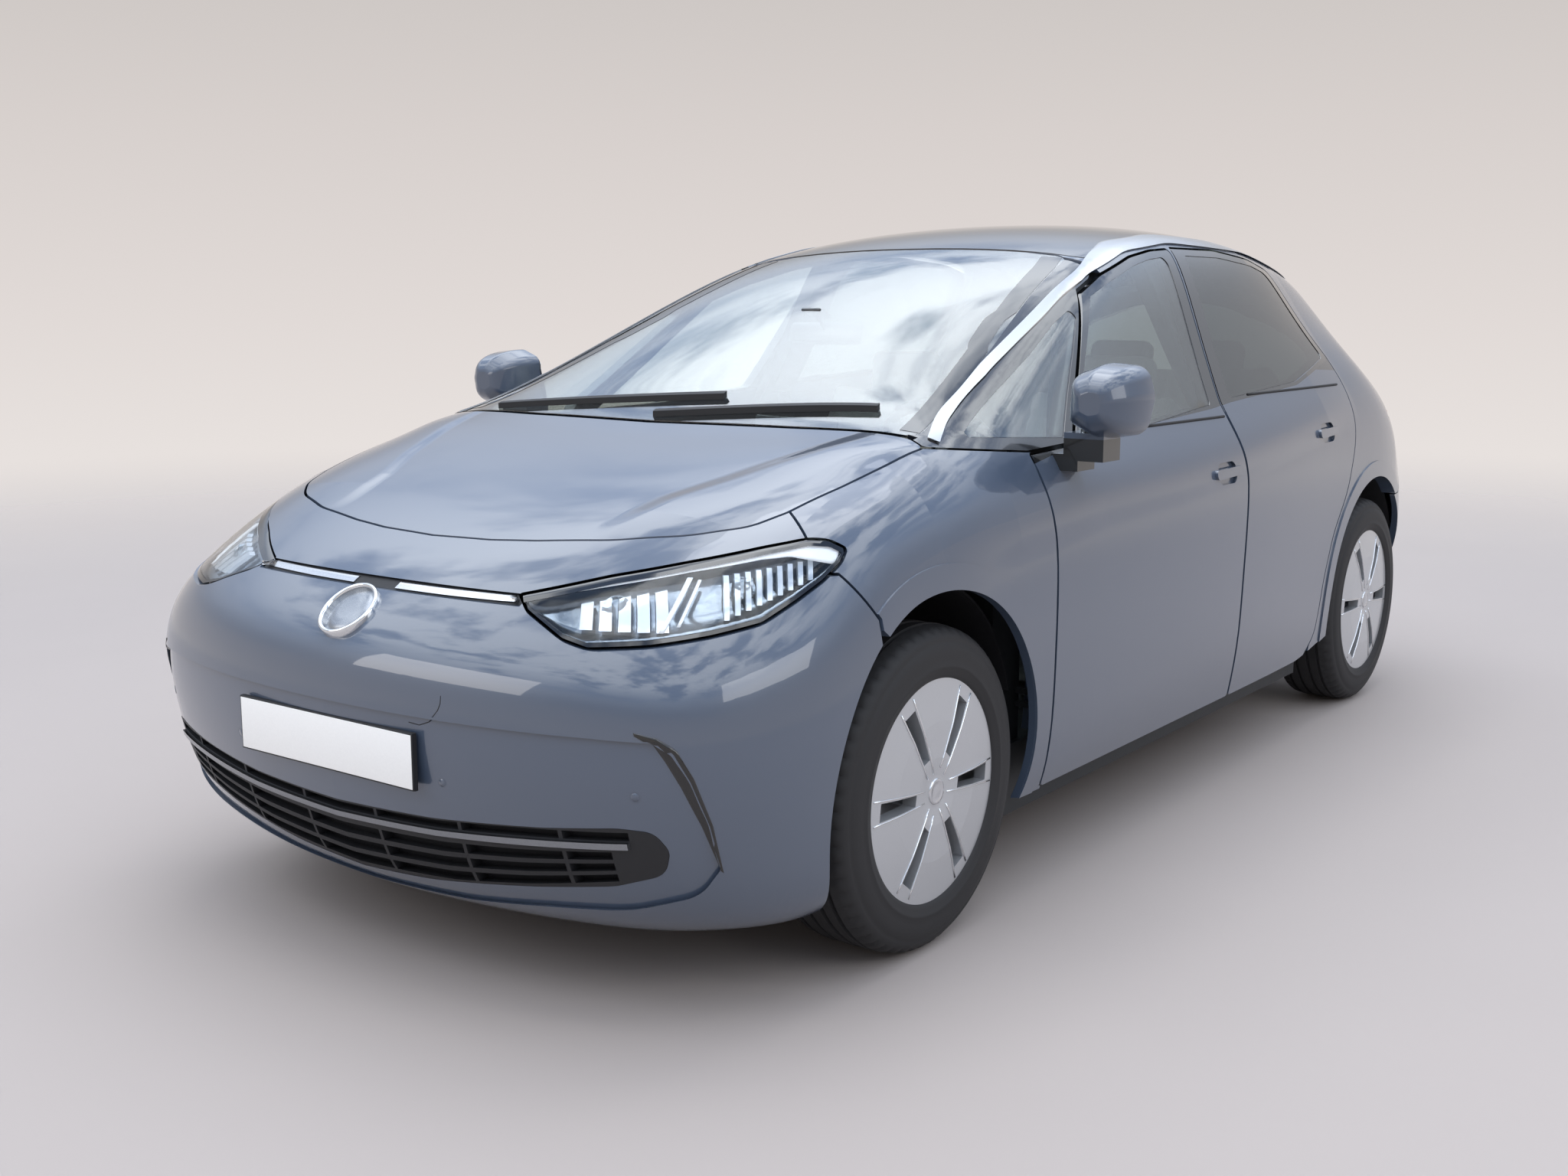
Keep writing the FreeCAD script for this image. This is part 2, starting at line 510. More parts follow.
def profile_sketch(body, plane_role, points):
    """Closed sketch on one of a body's own planes, each corner tied to the sheet."""
    sketch = body.newObject("Sketcher::SketchObject", body.Name + "Sketch%d" % len(body.Group))
    plane = [f for f in body.Origin.OriginFeatures if f.Role == plane_role][0]
    sketch.AttachmentSupport = [(plane, "")]
    sketch.MapMode = "FlatFace"
    count = len(points)
    for i in range(count):
        a, b = points[i], points[(i + 1) % count]
        sketch.addGeometry(Part.LineSegment(Vector(a[0][0], a[1][0], 0), Vector(b[0][0], b[1][0], 0)))
    for i in range(count):
        sketch.addConstraint(Sketcher.Constraint("Coincident", i, 2, (i + 1) % count, 1))
    for i in range(count):
        for kind, part in (("DistanceX", points[i][0]), ("DistanceY", points[i][1])):
            order = (-1, 1, i, 1) if part[0] >= 0 else (i, 1, -1, 1)
            index = sketch.addConstraint(Sketcher.Constraint(kind, *order, abs(part[0])))
            text = part[1] if part[0] >= 0 else "-(%s)" % part[1]
            sketch.setExpression("Constraints[%d]" % index, text)
    return sketch


def turned_body(name, points):
    """PartDesign body turned about its own X axis from a profile of (x, radius) lengths."""
    body = doc.addObject("PartDesign::Body", name)
    sketch = profile_sketch(body, "XZ_Plane", points)
    turning = body.newObject("PartDesign::Revolution", name + "Turning")
    turning.Profile = sketch
    turning.ReferenceAxis = (sketch, ["H_Axis"])
    turning.Angle = 360
    sketch.Visibility = False
    doc.recompute()
    return body


def rounded_tread(body, radius_alias):
    """Shoulders of a tyre, as fillets on the two widest circles of its tread."""
    base = body.Tip
    names = []
    for i, edge in enumerate(base.Shape.Edges, start=1):
        curve = edge.Curve
        if hasattr(curve, "Radius") and abs(curve.Radius - size("tyre_radius")) < gap / 10:
            names.append("Edge%d" % i)
    fillet = body.newObject("PartDesign::Fillet", body.Name + "Shoulder")
    fillet.Base = (base, names)
    fillet.setExpression("Radius", "Sizes." + radius_alias)
    doc.recompute()


def tyre(name, place):
    wide = terms((0.5, "tyre_width"))
    bead = terms((0.44, "tyre_width"))
    tread = terms((0.47, "tyre_width"))
    points = [((-bead[0], "-(%s)" % bead[1]), terms((1, "tyre_bead_radius"))),
              (bead, terms((1, "tyre_bead_radius"))),
              (bead, terms((1, "cover_radius"), (0.5, "shut_gap"))),
              (wide, terms((0.5, "cover_radius"), (0.5, "tyre_radius"))),
              (tread, terms((1, "tyre_radius"))),
              ((-tread[0], "-(%s)" % tread[1]), terms((1, "tyre_radius"))),
              ((-wide[0], "-(%s)" % wide[1]), terms((0.5, "cover_radius"), (0.5, "tyre_radius"))),
              ((-bead[0], "-(%s)" % bead[1]), terms((1, "cover_radius"), (0.5, "shut_gap")))]
    body = turned_body(name, points)
    rounded_tread(body, "tyre_shoulder")
    bound_place(body, *place)
    return alone(body, name)


def wheel_points():
    """Half section of the wheel: barrel, covered face, hub and brake disc, as (x, radius)."""
    edge = terms((0.45, "tyre_width"))
    barrel = terms((1, "tyre_bead_radius"), (-1, "wheel_gap"))
    inner = terms((1, "tyre_bead_radius"), (-1, "wheel_gap"), (-1, "rim_wall"))
    back = terms((-0.45, "tyre_width"))
    face_back = terms((0.34, "tyre_width"))
    disc_front = terms((0.15, "disc_thickness"))
    disc_back = terms((-0.85, "disc_thickness"))
    bore = terms((1, "stub_radius"), (1, "wheel_gap"))
    hub = terms((1, "hub_radius"))
    cap = terms((0.485, "tyre_width"))
    return [(disc_back, bore), (terms((0.3, "tyre_width")), bore), (terms((0.3, "tyre_width")), nothing),
            (terms((0.47, "tyre_width")), nothing), (terms((0.47, "tyre_width")), terms((0.14, "cover_radius"))),
            (cap, terms((0.3, "cover_radius"))), (cap, terms((0.62, "cover_radius"))),
            (edge, terms((1, "cover_radius"))), (terms((0.442, "tyre_width")), terms((1, "cover_radius"))),
            (terms((0.442, "tyre_width")), barrel), (back, barrel), (back, inner),
            (face_back, inner), (face_back, hub), (disc_front, hub),
            (disc_front, terms((1, "disc_radius"))), (disc_back, terms((1, "disc_radius")))]


def wheel(name, place, side):
    body = turned_body(name, wheel_points())
    radius = size("cover_radius")
    slot = [(.33, -.045), (.85, -.095), (.87, .065), (.35, .055)]
    points = [(terms((a, "cover_radius")), terms((b, "cover_radius"))) for a, b in slot]
    sketch = profile_sketch(body, "YZ_Plane", points)
    pocket = body.newObject("PartDesign::Pocket", name + "Slot")
    pocket.Profile = sketch
    pocket.setExpression("Length", "Sizes.tyre_width")
    pocket.Midplane = False
    pocket.Reversed = True
    pocket.Type = 0
    doc.recompute()
    limit = body.newObject("PartDesign::PolarPattern", name + "Slots")
    limit.Originals = [pocket]
    limit.Axis = (sketch, ["N_Axis"])
    limit.Angle = 360
    limit.Occurrences = 6
    body.Tip = limit
    doc.recompute()
    turn = None if side > 0 else (Vector(0, 0, 1), 180)
    bound_place(body, *place, turn)
    return alone(body, name)


# Axes of the moving pieces
def door_axis(edge):
    """Point on a door's upright hinge line, a little behind and inside its leading edge."""
    edge_point = skin_point(edge, size("hinge_low"))
    return Vector(edge_point.x - size("hinge_inset"), edge_point.y + size("hinge_setback"), 0)


front_hinge = door_axis(size("front_door_edge"))
rear_hinge = door_axis(size("rear_door_edge"))
bonnet_axis = Vector(0, station(size("bonnet_axis_station")), size("bonnet_axis_height"))
seam_line = Part.makeLine(Vector(0, station(size("tailgate_seam")), height * 0.8),
                          Vector(0, station(size("tailgate_seam")), height * 1.1))
seam_point = patch(17, 21, -1, 1).section(seam_line).Vertexes[0].Point
tailgate_axis = Vector(0, station(size("tailgate_axis_station")), seam_point.z - size("tailgate_axis_depth"))


def nose_relief(edge, hinge):
    """Space that a door's leading edge sweeps, a solid of revolution about its hinge line."""
    levels = [0.155, 0.18, 0.22, 0.28, 0.36, 0.44, 0.50, 0.54, 0.58, 0.62]
    rim = []
    for share in levels:
        point = skin_point(edge, share * height)
        reach = math.hypot(max(point.x - hinge.x, 0), point.y - hinge.y) + gap * 0.7
        rim.append(Vector(hinge.x + reach, hinge.y, share * height))
    foot = Vector(hinge.x, hinge.y, rim[0].z)
    head = Vector(hinge.x, hinge.y, rim[-1].z)
    profile = Part.Face(Part.makePolygon([foot] + rim + [head, foot]))
    return profile.revolve(Vector(hinge.x, hinge.y, 0), Vector(0, 0, 1), 360)


front_relief = nose_relief(size("front_door_edge"), front_hinge)
rear_relief = nose_relief(size("rear_door_edge"), rear_hinge)
front_door_cut = side_view(front_door_shares, gap / 2)
rear_door_cut = side_view(rear_door_shares, gap / 2)


def bonnet():
    shell = thick(patch(4.5, 10, -4.6, 4.6), (0, 0, -1), size("panel_depth"))
    return shell.common(plan_view(bonnet_shares, -gap / 2))


def windscreen():
    pane = thick(patch(8.5, 14, -3.6, 3.6), (0, 0.5, -0.85), size("glass_thickness"), size("glass_inset"))
    return pane.common(plan_view(windscreen_shares, gap / 2 - size("seat_gap")))


def roof_panel():
    shell = thick(patch(11.5, 19, -3.4, 3.4), (0, 0, -1), size("roof_depth"))
    pin = size("lid_pin_radius")
    wide = size("lid_arm_width")
    eye = pin * 2 + size("lid_eye_gap")
    seat = size("seat_gap")
    pockets = []
    for side in (-1, 1):
        middle = tailgate_axis + Vector(side * size("tailgate_arm_offset"), 0, 0)
        half_bracket = wide * 1.4 + seat
        half_slot = wide / 2 + size("lid_slot_gap")
        reach = overrun + pin * 1.5 + seat
        pockets.append(Part.makeBox(half_bracket * 2, reach + pin * 1.5 + seat, height,
                                    middle + Vector(-half_bracket, -reach, pin * 1.5 + seat - height)))
        pockets.append(Part.makeBox(half_slot * 2, eye * 2, height, middle + Vector(-half_slot, -eye, eye - height)))
        pockets.append(Part.makeBox(half_slot * 2, overrun, height, middle + Vector(-half_slot, -pin / 2, -height / 2)))
    return shell.common(plan_view(roof_shares, -gap / 2)).cut(pockets)


def nose_panel():
    shell = thick(patch(3, 8, -5, 5), (0, 0.65, -0.65), size("panel_depth"))
    level = end_view([(0, .5055, 0), (1.1, .5055, 0), (1.1, .75, 0), (0, .75, 0)], -1, -gap / 4)
    shell = shell.common(level).common(plan_view(nose_shares, -gap / 2))
    return shell.cut([bonnet_cut] + lamp_cuts)


def front_bumper():
    left = thick(patch(0, 6.5, 0, 9), (-0.5, 0.8, 0.1), size("bumper_depth"))
    left = left.common(side_view([(a, b, r) for a, b, r in bumper_side_shares], -gap / 2))
    recess = thick(patch(0, 5, 0, 9), (-0.5, 0.8, 0.1), size("recess_depth") + overrun, -overrun)
    recess = recess.common(end_view(bumper_recess_shares, -1, 0, False))
    left = left.cut([lamp_left_cut, arch_cuts[0], recess])
    below = end_view([(0, .05, 0), (1.1, .05, 0), (1.1, .60, 0), (.47, .60, 0), (.43, .4945, 0), (0, .4945, 0)], -1)
    left = left.common(below)
    whole = left.fuse(mirror(left))
    return whole.cut([end_view(intake_shares, -1), plate_space(size("seat_gap"))] + plate_screw_holes())


def plate_space(spare):
    """Flat seat of the number plate's holder in the bumper."""
    half = size("plate_width") / 2 + spare
    tall = size("plate_height") / 2 + spare
    back = size("plate_station") + size("plate_holder_depth")
    return box(-half, half, -overrun, back + spare, size("plate_level") - tall, size("plate_level") + tall)


def plate_screw_holes():
    return [Part.makeCylinder(size("plate_screw_radius"), overrun * 2,
                              Vector(side * size("plate_screw_spacing") / 2, station(-overrun), size("plate_level")),
                              Vector(0, 1, 0)) for side in (1, -1)]


def plate_holder():
    front = box(-length, length, size("plate_station"), length, 0, height)
    return plate_space(0).common(front).cut(plate_screw_holes())


def grille_band(base, base_part, top, top_part):
    """Opening seen from the front, between two parts of the way from one line of the grille to another."""
    low = [(x, a + (b - a) * base_part, 0) for (x, a), (x_too, b) in zip(base, top)]
    high = [(x, a + (b - a) * top_part, 0) for (x, a), (x_too, b) in zip(base, top)]
    return end_view(low + high[::-1], -1)


def lower_grille():
    """Intake panel with three slots under the bar and one over it, closed behind."""
    face = patch(0, 2.4, -5.5, 5.5)
    toward = (0, 1, 0)
    start = size("bumper_depth") / 3
    panel = thick(face, toward, size("bumper_depth"), start).common(end_view(intake_shares, -1, -size("seat_gap")))
    front = thick(face, toward, size("bumper_depth") - size("grille_web") + start, 0)
    slots = [grille_band(grille_base_shares, low, grille_bar_shares, high)
             for low, high in ((.06, .26), (.36, .56), (.66, .86))]
    slots.append(grille_band(grille_bar_shares, .45, grille_top_shares, .95))
    ribs = []
    for share in (.12, .36, .60):
        ribs.append(box(share * half_width - size("grille_web"), share * half_width + size("grille_web"), -overrun,
                        length, 0, height))
    opened = slots[0].multiFuse(slots[1:]).common(front).cut(ribs + [mirror(rib) for rib in ribs])
    return panel.cut(opened)


def grille_bar():
    """Bright bar across the intake."""
    face = patch(0, 2.4, -5.5, 5.5)
    bar = thick(face, (0, 1, 0), size("bumper_depth") / 3 - size("seat_gap") - 1, 1)
    return bar.common(grille_band(grille_bar_shares, -.04, grille_top_shares, .34)).common(
        end_view(intake_shares, -1, -gap))


def arch_lip(rows, centre_y):
    """Low band of the skin round a wheel arch."""
    low, high = rows
    depth = size("panel_depth") + size("lip_rise")
    ring = Part.makeCylinder(size("lip_outer"), half_width * 3, Vector(-half_width, centre_y, arch_height), Vector(1, 0, 0))
    ring = ring.cut(Part.makeCylinder(size("lip_inner"), half_width * 4, Vector(-half_width * 1.5, centre_y, arch_height),
                                      Vector(1, 0, 0)))
    return thick(patch(low, high, 4, 9), (-1, 0, 0), depth, -size("lip_rise")).common(ring)


def fender():
    top = thick(patch(4.5, 10.5, 2.4, 6.2), (0, 0, -1), size("panel_depth"))
    flank = thick(patch(4, 11.8, 3.6, 9), (-1, 0, -0.15), size("panel_depth"))
    away = [bonnet_cut, windscreen_cut, lamp_left_cut, arch_cuts[0], front_relief, front_door_cut,
            plan_view(nose_shares, gap / 2), side_view(bumper_side_shares, gap / 2),
            side_view(pillar_region_shares, gap / 2)]
    region = side_view([(.08, .06, 0), (.309, .06, 0), (.309, .66, 0), (.24, .69, 0), (.08, .69, 0)])
    return top.multiFuse([flank, arch_lip((4, 11.8), front_axle)]).common(region).cut(away)


def windscreen_pillar():
    shell = thick(patch(8.5, 14.5, 1.6, 6), (-1, 0, 0), size("side_depth"))
    shell = shell.common(side_view(pillar_region_shares, -gap / 4))
    pane = side_view(quarter_pane_shares)
    cowl = box(0, half_width * 0.78, 0, size("cowl_front"), 0, height)
    return shell.cut([windscreen_cut, roof_cut, bonnet_cut, front_door_cut, pane, cowl])


def body_side():
    """Rear quarter with the roof side, the sill, the pillars and the flange behind the doors."""
    lean = 0.22
    shell = thick(patch(12, 22.4, 1.6, 9), (-1, -lean, 0), size("side_depth") * math.hypot(1, lean))
    shell = shell.fuse(arch_lip((13, 20.5), rear_axle))
    region = side_view([(.4835, .06, 0), (1.02, .06, 0), (1.02, 1.05, 0), (.4835, 1.05, 0)])
    away = [roof_cut, windscreen_cut, tailgate_cut, front_door_cut, rear_door_cut, arch_cuts[1],
            side_view(rear_bumper_side_shares, gap / 2), side_view(tail_lamp_shares, size("seat_gap")),
            box(0, half_width * 2, size("sill_front"), size("sill_rear") - overrun, 0, size("door_inner_base")),
            side_view([(.5655, .151, 0), (.5720, .151, 0), (.5720, .66, 0), (.5655, .66, 0)])]
    shell = shell.common(region).cut(away)
    ring_inset = size("side_depth") + size("seat_gap")
    ring = thick(patch(9, 20.5, 1.8, 9), (-1, 0, 0), size("ring_thickness"), ring_inset)
    roof_slab = thick(patch(11.5, 19, -3.4, 3.4), (0, 0, -1), size("roof_depth") + size("seat_gap"))
    roof_slab = roof_slab.common(plan_view(roof_shares, gap / 2))
    opening = side_view(front_door_shares, gap).fuse(side_view(rear_door_shares, gap))
    inner = side_view(front_door_shares, -size("ring_width")).fuse(
        side_view(rear_door_shares, -size("ring_width")))
    above = box(0, half_width * 2, 0, length, size("belt_height") + gap, height)
    ring = ring.common(opening.fuse(side_view(front_door_shares, gap * 2).common(above))).cut(inner)
    ahead = box(0, half_width * 2, 0, size("centre_pillar_rear") + overrun, 0, height)
    ring = ring.common(above).common(ahead).cut([roof_slab, windscreen_cut])
    sill = box(size("sill_inner"), size("sill_outer"), size("sill_front"), size("sill_rear"),
               size("sill_base"), size("sill_base") + size("sill_height"))
    front_post = box(size("pillar_inner"), size("pillar_outer"), size("front_pillar_front"),
                     size("front_door_edge") + size("hinge_setback") + gap, size("sill_base"),
                     size("belt_height") + size("ring_width"))
    centre_post = box(size("pillar_inner"), size("pillar_outer"), size("centre_pillar_front"),
                      size("centre_pillar_rear"), size("sill_base"), size("belt_height") + overrun)
    upper = thick(patch(12.5, 17, 2.2, 6), (-1, 0, 0), size("ring_thickness") * 2, ring_inset)
    upper = upper.common(box(0, half_width, size("centre_pillar_front"), size("centre_pillar_rear") + overrun,
                             size("belt_height"), height * 0.95)).cut(roof_slab)
    swing = Part.makeCylinder(size("door_sweep_radius"), height * 0.12,
                              Vector(rear_hinge.x, rear_hinge.y, size("belt_height") - overrun))
    fender_rail = thick(patch(5, 11, 2.6, 5), (0, 0, -1), size("rail_width"), size("panel_depth") + size("seat_gap"))
    fender_rail = fender_rail.common(box(size("fender_rail_inner"), size("fender_rail_inner") + size("rail_width") * 1.2,
                                         size("front_overhang") * 0.78, size("front_pillar_front") + size("rail_width"),
                                         0, height))
    parts = [ring, sill, front_post, centre_post, upper, fender_rail]
    for hinge, post_outer in ((front_hinge, size("pillar_outer")), (rear_hinge, size("pillar_outer"))):
        parts.extend(hinge_brackets(hinge, post_outer))
    parts[0] = ring.cut(swing)
    parts[3] = centre_post.cut(swing)
    parts[4] = upper.cut(swing)
    frame = parts[0].multiFuse(parts[1:])
    return shell, frame


def hinge_brackets(hinge, post_outer):
    """Two brackets with an upright pin for each of a door's hinges, carried by the post."""
    pieces = []
    tall = size("hinge_height")
    leaf = tall * 0.3
    half = size("hinge_pin_radius") + 2
    for level in (size("hinge_low"), size("hinge_high")):
        pieces.append(rod(size("hinge_pin_radius"), Vector(hinge.x, hinge.y, level - tall / 2),
                          Vector(hinge.x, hinge.y, level + tall / 2)))
        for base in (level - tall / 2, level + tall / 2 - leaf):
            arm = Part.makeBox(hinge.x - post_outer + 2, half * 2, leaf,
                               Vector(post_outer - 2, hinge.y - half, base))
            pieces.append(arm)
            pieces.append(Part.makeCylinder(half, leaf, Vector(hinge.x, hinge.y, base)))
    return pieces


def door(shares, pane_shares, hinge, patch_rows, relief=None):
    """Door leaf: skin, window frame, inner panel and hinge sleeves."""
    low, high = patch_rows
    skin_face = patch(low, high, 1.9, 9)
    outer = thick(skin_face, (-1, 0, 0), size("door_skin_depth")).common(side_view(shares, -gap / 2))
    frame_part = thick(skin_face, (-1, 0, 0), size("door_frame_depth") - 4, 4).common(
        side_view(shares, -size("door_frame_inset")))
    inner = thick(skin_face, (-1, 0, 0), size("door_inner_depth") - 8, 8).common(
        side_view(shares, -size("door_inner_inset")))
    space = box(0, half_width * 2, 0, length, size("door_inner_base"), size("belt_height"))
    behind = box(0, half_width * 2, hinge.y + length / 2 + size("hinge_sleeve_radius") + gap, length, 0, height)
    inner = inner.common(space).common(behind)
    leaf = outer.multiFuse([frame_part, inner])
    cuts = [side_view(pane_shares)]
    if relief is not None:
        cuts.append(relief)
    sleeves = []
    tall = size("hinge_height")
    for level in (size("hinge_low"), size("hinge_high")):
        middle = Vector(hinge.x, hinge.y, level)
        cuts.append(Part.makeCylinder(size("hinge_pocket_radius"), tall + gap * 2,
                                      middle - Vector(0, 0, tall / 2 + gap)))
        sleeve_tall = tall * 0.4 - 1
        base = middle - Vector(0, 0, sleeve_tall / 2)
        sleeve = Part.makeCylinder(size("hinge_sleeve_radius"), sleeve_tall, base)
        reach = size("hinge_pocket_radius") + gap * 2
        sleeve = sleeve.fuse(Part.makeBox(size("hinge_sleeve_radius"), reach, sleeve_tall,
                                          base - Vector(size("hinge_sleeve_radius") / 2, 0, 0)))
        bore = Part.makeCylinder(size("hinge_pin_radius") + size("seat_gap"), tall * 2,
                                 middle - Vector(0, 0, tall))
        sleeves.append(sleeve.cut(bore))
    return leaf.cut(cuts).multiFuse(sleeves)


def handle_cup(station_from, level, rows):
    """Finger recess behind a pull bar."""
    half = size("handle_cup_half")
    start = station_from + (size("handle_length") - size("handle_cup_length")) / 2
    shares = [(start / length, (level - half) / height, half / height),
              ((start + size("handle_cup_length")) / length, (level - half) / height, half / height),
              ((start + size("handle_cup_length")) / length, (level + half) / height, half / height),
              (start / length, (level + half) / height, half / height)]
    face = patch(rows[0], rows[1], 5, 9)
    return thick(face, (-1, 0, 0), size("handle_cup_depth") * 2, -size("handle_cup_depth")).common(side_view(shares))


def handle(station_from, level, rows):
    """Pull bar on a door, a band of the skin stood off on its two ends."""
    low = patch(rows[0], rows[1], 5, 9)
    bar_half = size("hinge_sleeve_radius")
    station_to = station_from + size("handle_length")
    shares = [(station_from / length, (level - bar_half) / height, .008),
              (station_to / length, (level - bar_half * .6) / height, .008),
              (station_to / length, (level + bar_half * 1.2) / height, .008),
              (station_from / length, (level + bar_half) / height, .008)]
    bar = thick(low, (-1, 0, 0), size("handle_cup_depth"), -size("handle_cup_depth")).common(side_view(shares))
    feet = thick(low, (-1, 0, 0), size("handle_cup_depth") * 2, -size("handle_cup_depth")).common(side_view(shares))
    middle = box(0, half_width * 2, station_from + size("handle_cup_depth") * 3,
                 station_to - size("handle_cup_depth") * 3, 0, height)
    return bar.fuse(feet.cut(middle))


def pane(shares, patch_rows):
    low, high = patch_rows
    glass = thick(patch(low, high, 1.9, 6), (-1, 0, 0), size("glass_thickness"), size("glass_inset"))
    return glass.common(side_view(shares, -size("seat_gap")))


def tailgate():
    shell = thick(patch(16.5, 22.3, -5.6, 5.6), (0, -0.8, -0.45), size("tailgate_depth"))
    behind = box(-half_width * 2, half_width * 2, size("tailgate_seam"), length * 2, 0, height * 2)
    shell = shell.common(end_view(tailgate_shares, 1, -gap / 2)).common(behind)
    lamps = side_view(tail_lamp_shares, size("seat_gap"))
    keep_bar = end_view([(0, .62, 0), (.3, .62, 0), (.3, .655, 0), (0, .655, 0)], 1)
    lamp_band = lamps.fuse(mirror(lamps)).cut(keep_bar)
    shell = shell.cut([end_view(rear_window_shares, 1), lamp_band])
    parts = [shell]
    for side in (-1, 1):
        x = side * size("tailgate_arm_offset")
        parts.append(lid_arm(x, tailgate_axis, [(0, 0), (30, -8), (58, -20)]))
    return shell.multiFuse(parts[1:])


def lid_arm(x, axis, route):
    """Flat arm with an eye at a lid's axis; the route is (back, up) from that axis."""
    wide = size("lid_arm_width")
    eye = size("lid_pin_radius") * 2
    places = [axis + Vector(x - wide / 2, back, up) for back, up in route]
    shape = Part.makeCylinder(eye, wide, places[0], Vector(1, 0, 0))
    for start, stop in zip(places, places[1:]):
        along = (stop - start).normalize()
        side_step = along.cross(Vector(1, 0, 0)) * (eye * 0.7)
        corners = [start + side_step, stop + side_step, stop - side_step, start - side_step, start + side_step]
        shape = shape.fuse(Part.Face(Part.makePolygon(corners)).extrude(Vector(wide, 0, 0)))
        shape = shape.fuse(Part.makeCylinder(eye * 0.7, wide, stop, Vector(1, 0, 0)))
    bore = Part.makeCylinder(size("lid_pin_radius") + size("seat_gap"), wide * 3,
                             places[0] - Vector(wide, 0, 0), Vector(1, 0, 0))
    return shape.cut(bore)


def tailgate_glass():
    glass = thick(patch(16.5, 21.5, -5, 5), (0, -0.8, -0.45), size("glass_thickness"), size("glass_inset"))
    behind = box(-half_width * 2, half_width * 2, size("tailgate_seam"), length * 2, 0, height * 2)
    return glass.common(end_view(rear_window_shares, 1, -size("seat_gap"))).common(behind)


def tail_lamps():
    """Body half of each lamp; the half on the tailgate is a node of its own."""
    body = thick(patch(17, 22, 2.5, 9), (-1, -0.3, 0), size("side_depth"), size("lamp_inset"))
    body = body.common(side_view(tail_lamp_shares, -size("seat_gap"))).cut(tailgate_cut)
    lid = thick(patch(17, 22, 0, 6), (0, -1, 0), size("panel_depth"), size("lamp_inset"))
    lid = lid.common(side_view(tail_lamp_shares, -size("seat_gap")))
    lid = lid.common(end_view(tailgate_shares, 1, -gap))
    lid = lid.cut(end_view([(0, .5, 0), (.3, .5, 0), (.3, .75, 0), (0, .75, 0)], 1, size("seat_gap")))
    return body, lid


def rear_bumper():
    left = thick(patch(16.5, 23, 0, 9), (-0.5, -0.8, 0.1), size("bumper_depth"))
    middle = side_view([(.90, .06, 0), (.90, .478, 0), (1.02, .478, 0), (1.02, .06, 0)], -gap / 2)
    left = left.common(side_view(rear_bumper_side_shares, -gap / 2)).cut([arch_cuts[1], tailgate_cut])
    return left.fuse(mirror(left))


def headlamp():
    body = thick(patch(2.5, 8.5, .7, 9), (-0.35, 0.9, -0.15), size("lamp_depth"), size("lamp_inset"))
    return body.common(corner_view(lamp_shares, -size("seat_gap"))).cut([bonnet_cut])


def light_bar():
    slot = thick(patch(3, 7, -3.5, 3.5), (0, 1, 0), size("panel_depth") * 2, size("lamp_inset") * 3)
    return slot.common(end_view(bar_shares, -1, -size("seat_gap"))).cut(lamp_cuts)


def roof_strip():
    band = patch(8.5, 20, 1.6, 5.2).translated(Vector(size("seat_gap"), 0, size("seat_gap")))
    strip = band.extrude(Vector(size("trim_height"), 0, size("trim_height"))).common(side_view(strip_shares))
    return strip.common(plan_view(strip_plan_shares, 0, False))


add("bonnet", bonnet().fuse([lid_arm(side * size("bonnet_arm_offset"), bonnet_axis,
                                    [(0, 0), (-46, -46), (-98, -10), (-108, 16)]) for side in (-1, 1)]))
add("windscreen", windscreen())
add("roof_panel", roof_panel())
nose_shell = nose_panel()
add("nose_panel", nose_shell)
bumper_shell = front_bumper()
add("front_bumper", bumper_shell)
add("plate_holder", plate_holder())
add("lower_grille", lower_grille())
add("grille_bar", grille_bar())
bar_shell = light_bar()
add("light_bar", bar_shell)
lamp_shell = headlamp()
both("headlamps", lamp_shell)
fender_shell = fender()
both("fenders", fender_shell)
quarter, side_frame = body_side()
both("body_sides", quarter)
pillar_shell = windscreen_pillar()
both("side_frames", side_frame.cut([quarter, fender_shell, pillar_shell]))
both("windscreen_pillars", pillar_shell)
both("quarter_glass", pane(quarter_pane_shares, (8.5, 14)))
both("roof_strips", roof_strip())
front_leaf = door(front_door_shares, front_pane_shares, front_hinge, (9.4, 17), rear_relief)
front_glass = pane(front_pane_shares, (10, 17))
front_pull = (size("handle_front"), size("front_handle_height"), (11, 15))
pair("front_door", front_leaf.cut(handle_cup(*front_pull)).fuse(handle(*front_pull)))
rear_leaf = door(rear_door_shares, rear_pane_shares, rear_hinge, (12.5, 20))
rear_pull = (size("handle_rear"), size("rear_handle_height"), (14, 16.5))
pair("rear_door", rear_leaf.cut(handle_cup(*rear_pull)).fuse(handle(*rear_pull)))
pair("front_door_glass", front_glass)
pair("rear_door_glass", pane(rear_pane_shares, (12.5, 20)))
add("tailgate", tailgate())
add("tailgate_glass", tailgate_glass())
lamp_on_body, lamp_on_lid = tail_lamps()
both("tail_lamps", lamp_on_body)
add("tailgate_lamps", lamp_on_lid.fuse(mirror(lamp_on_lid)))
rear_shell = rear_bumper()
add("rear_bumper", rear_shell)


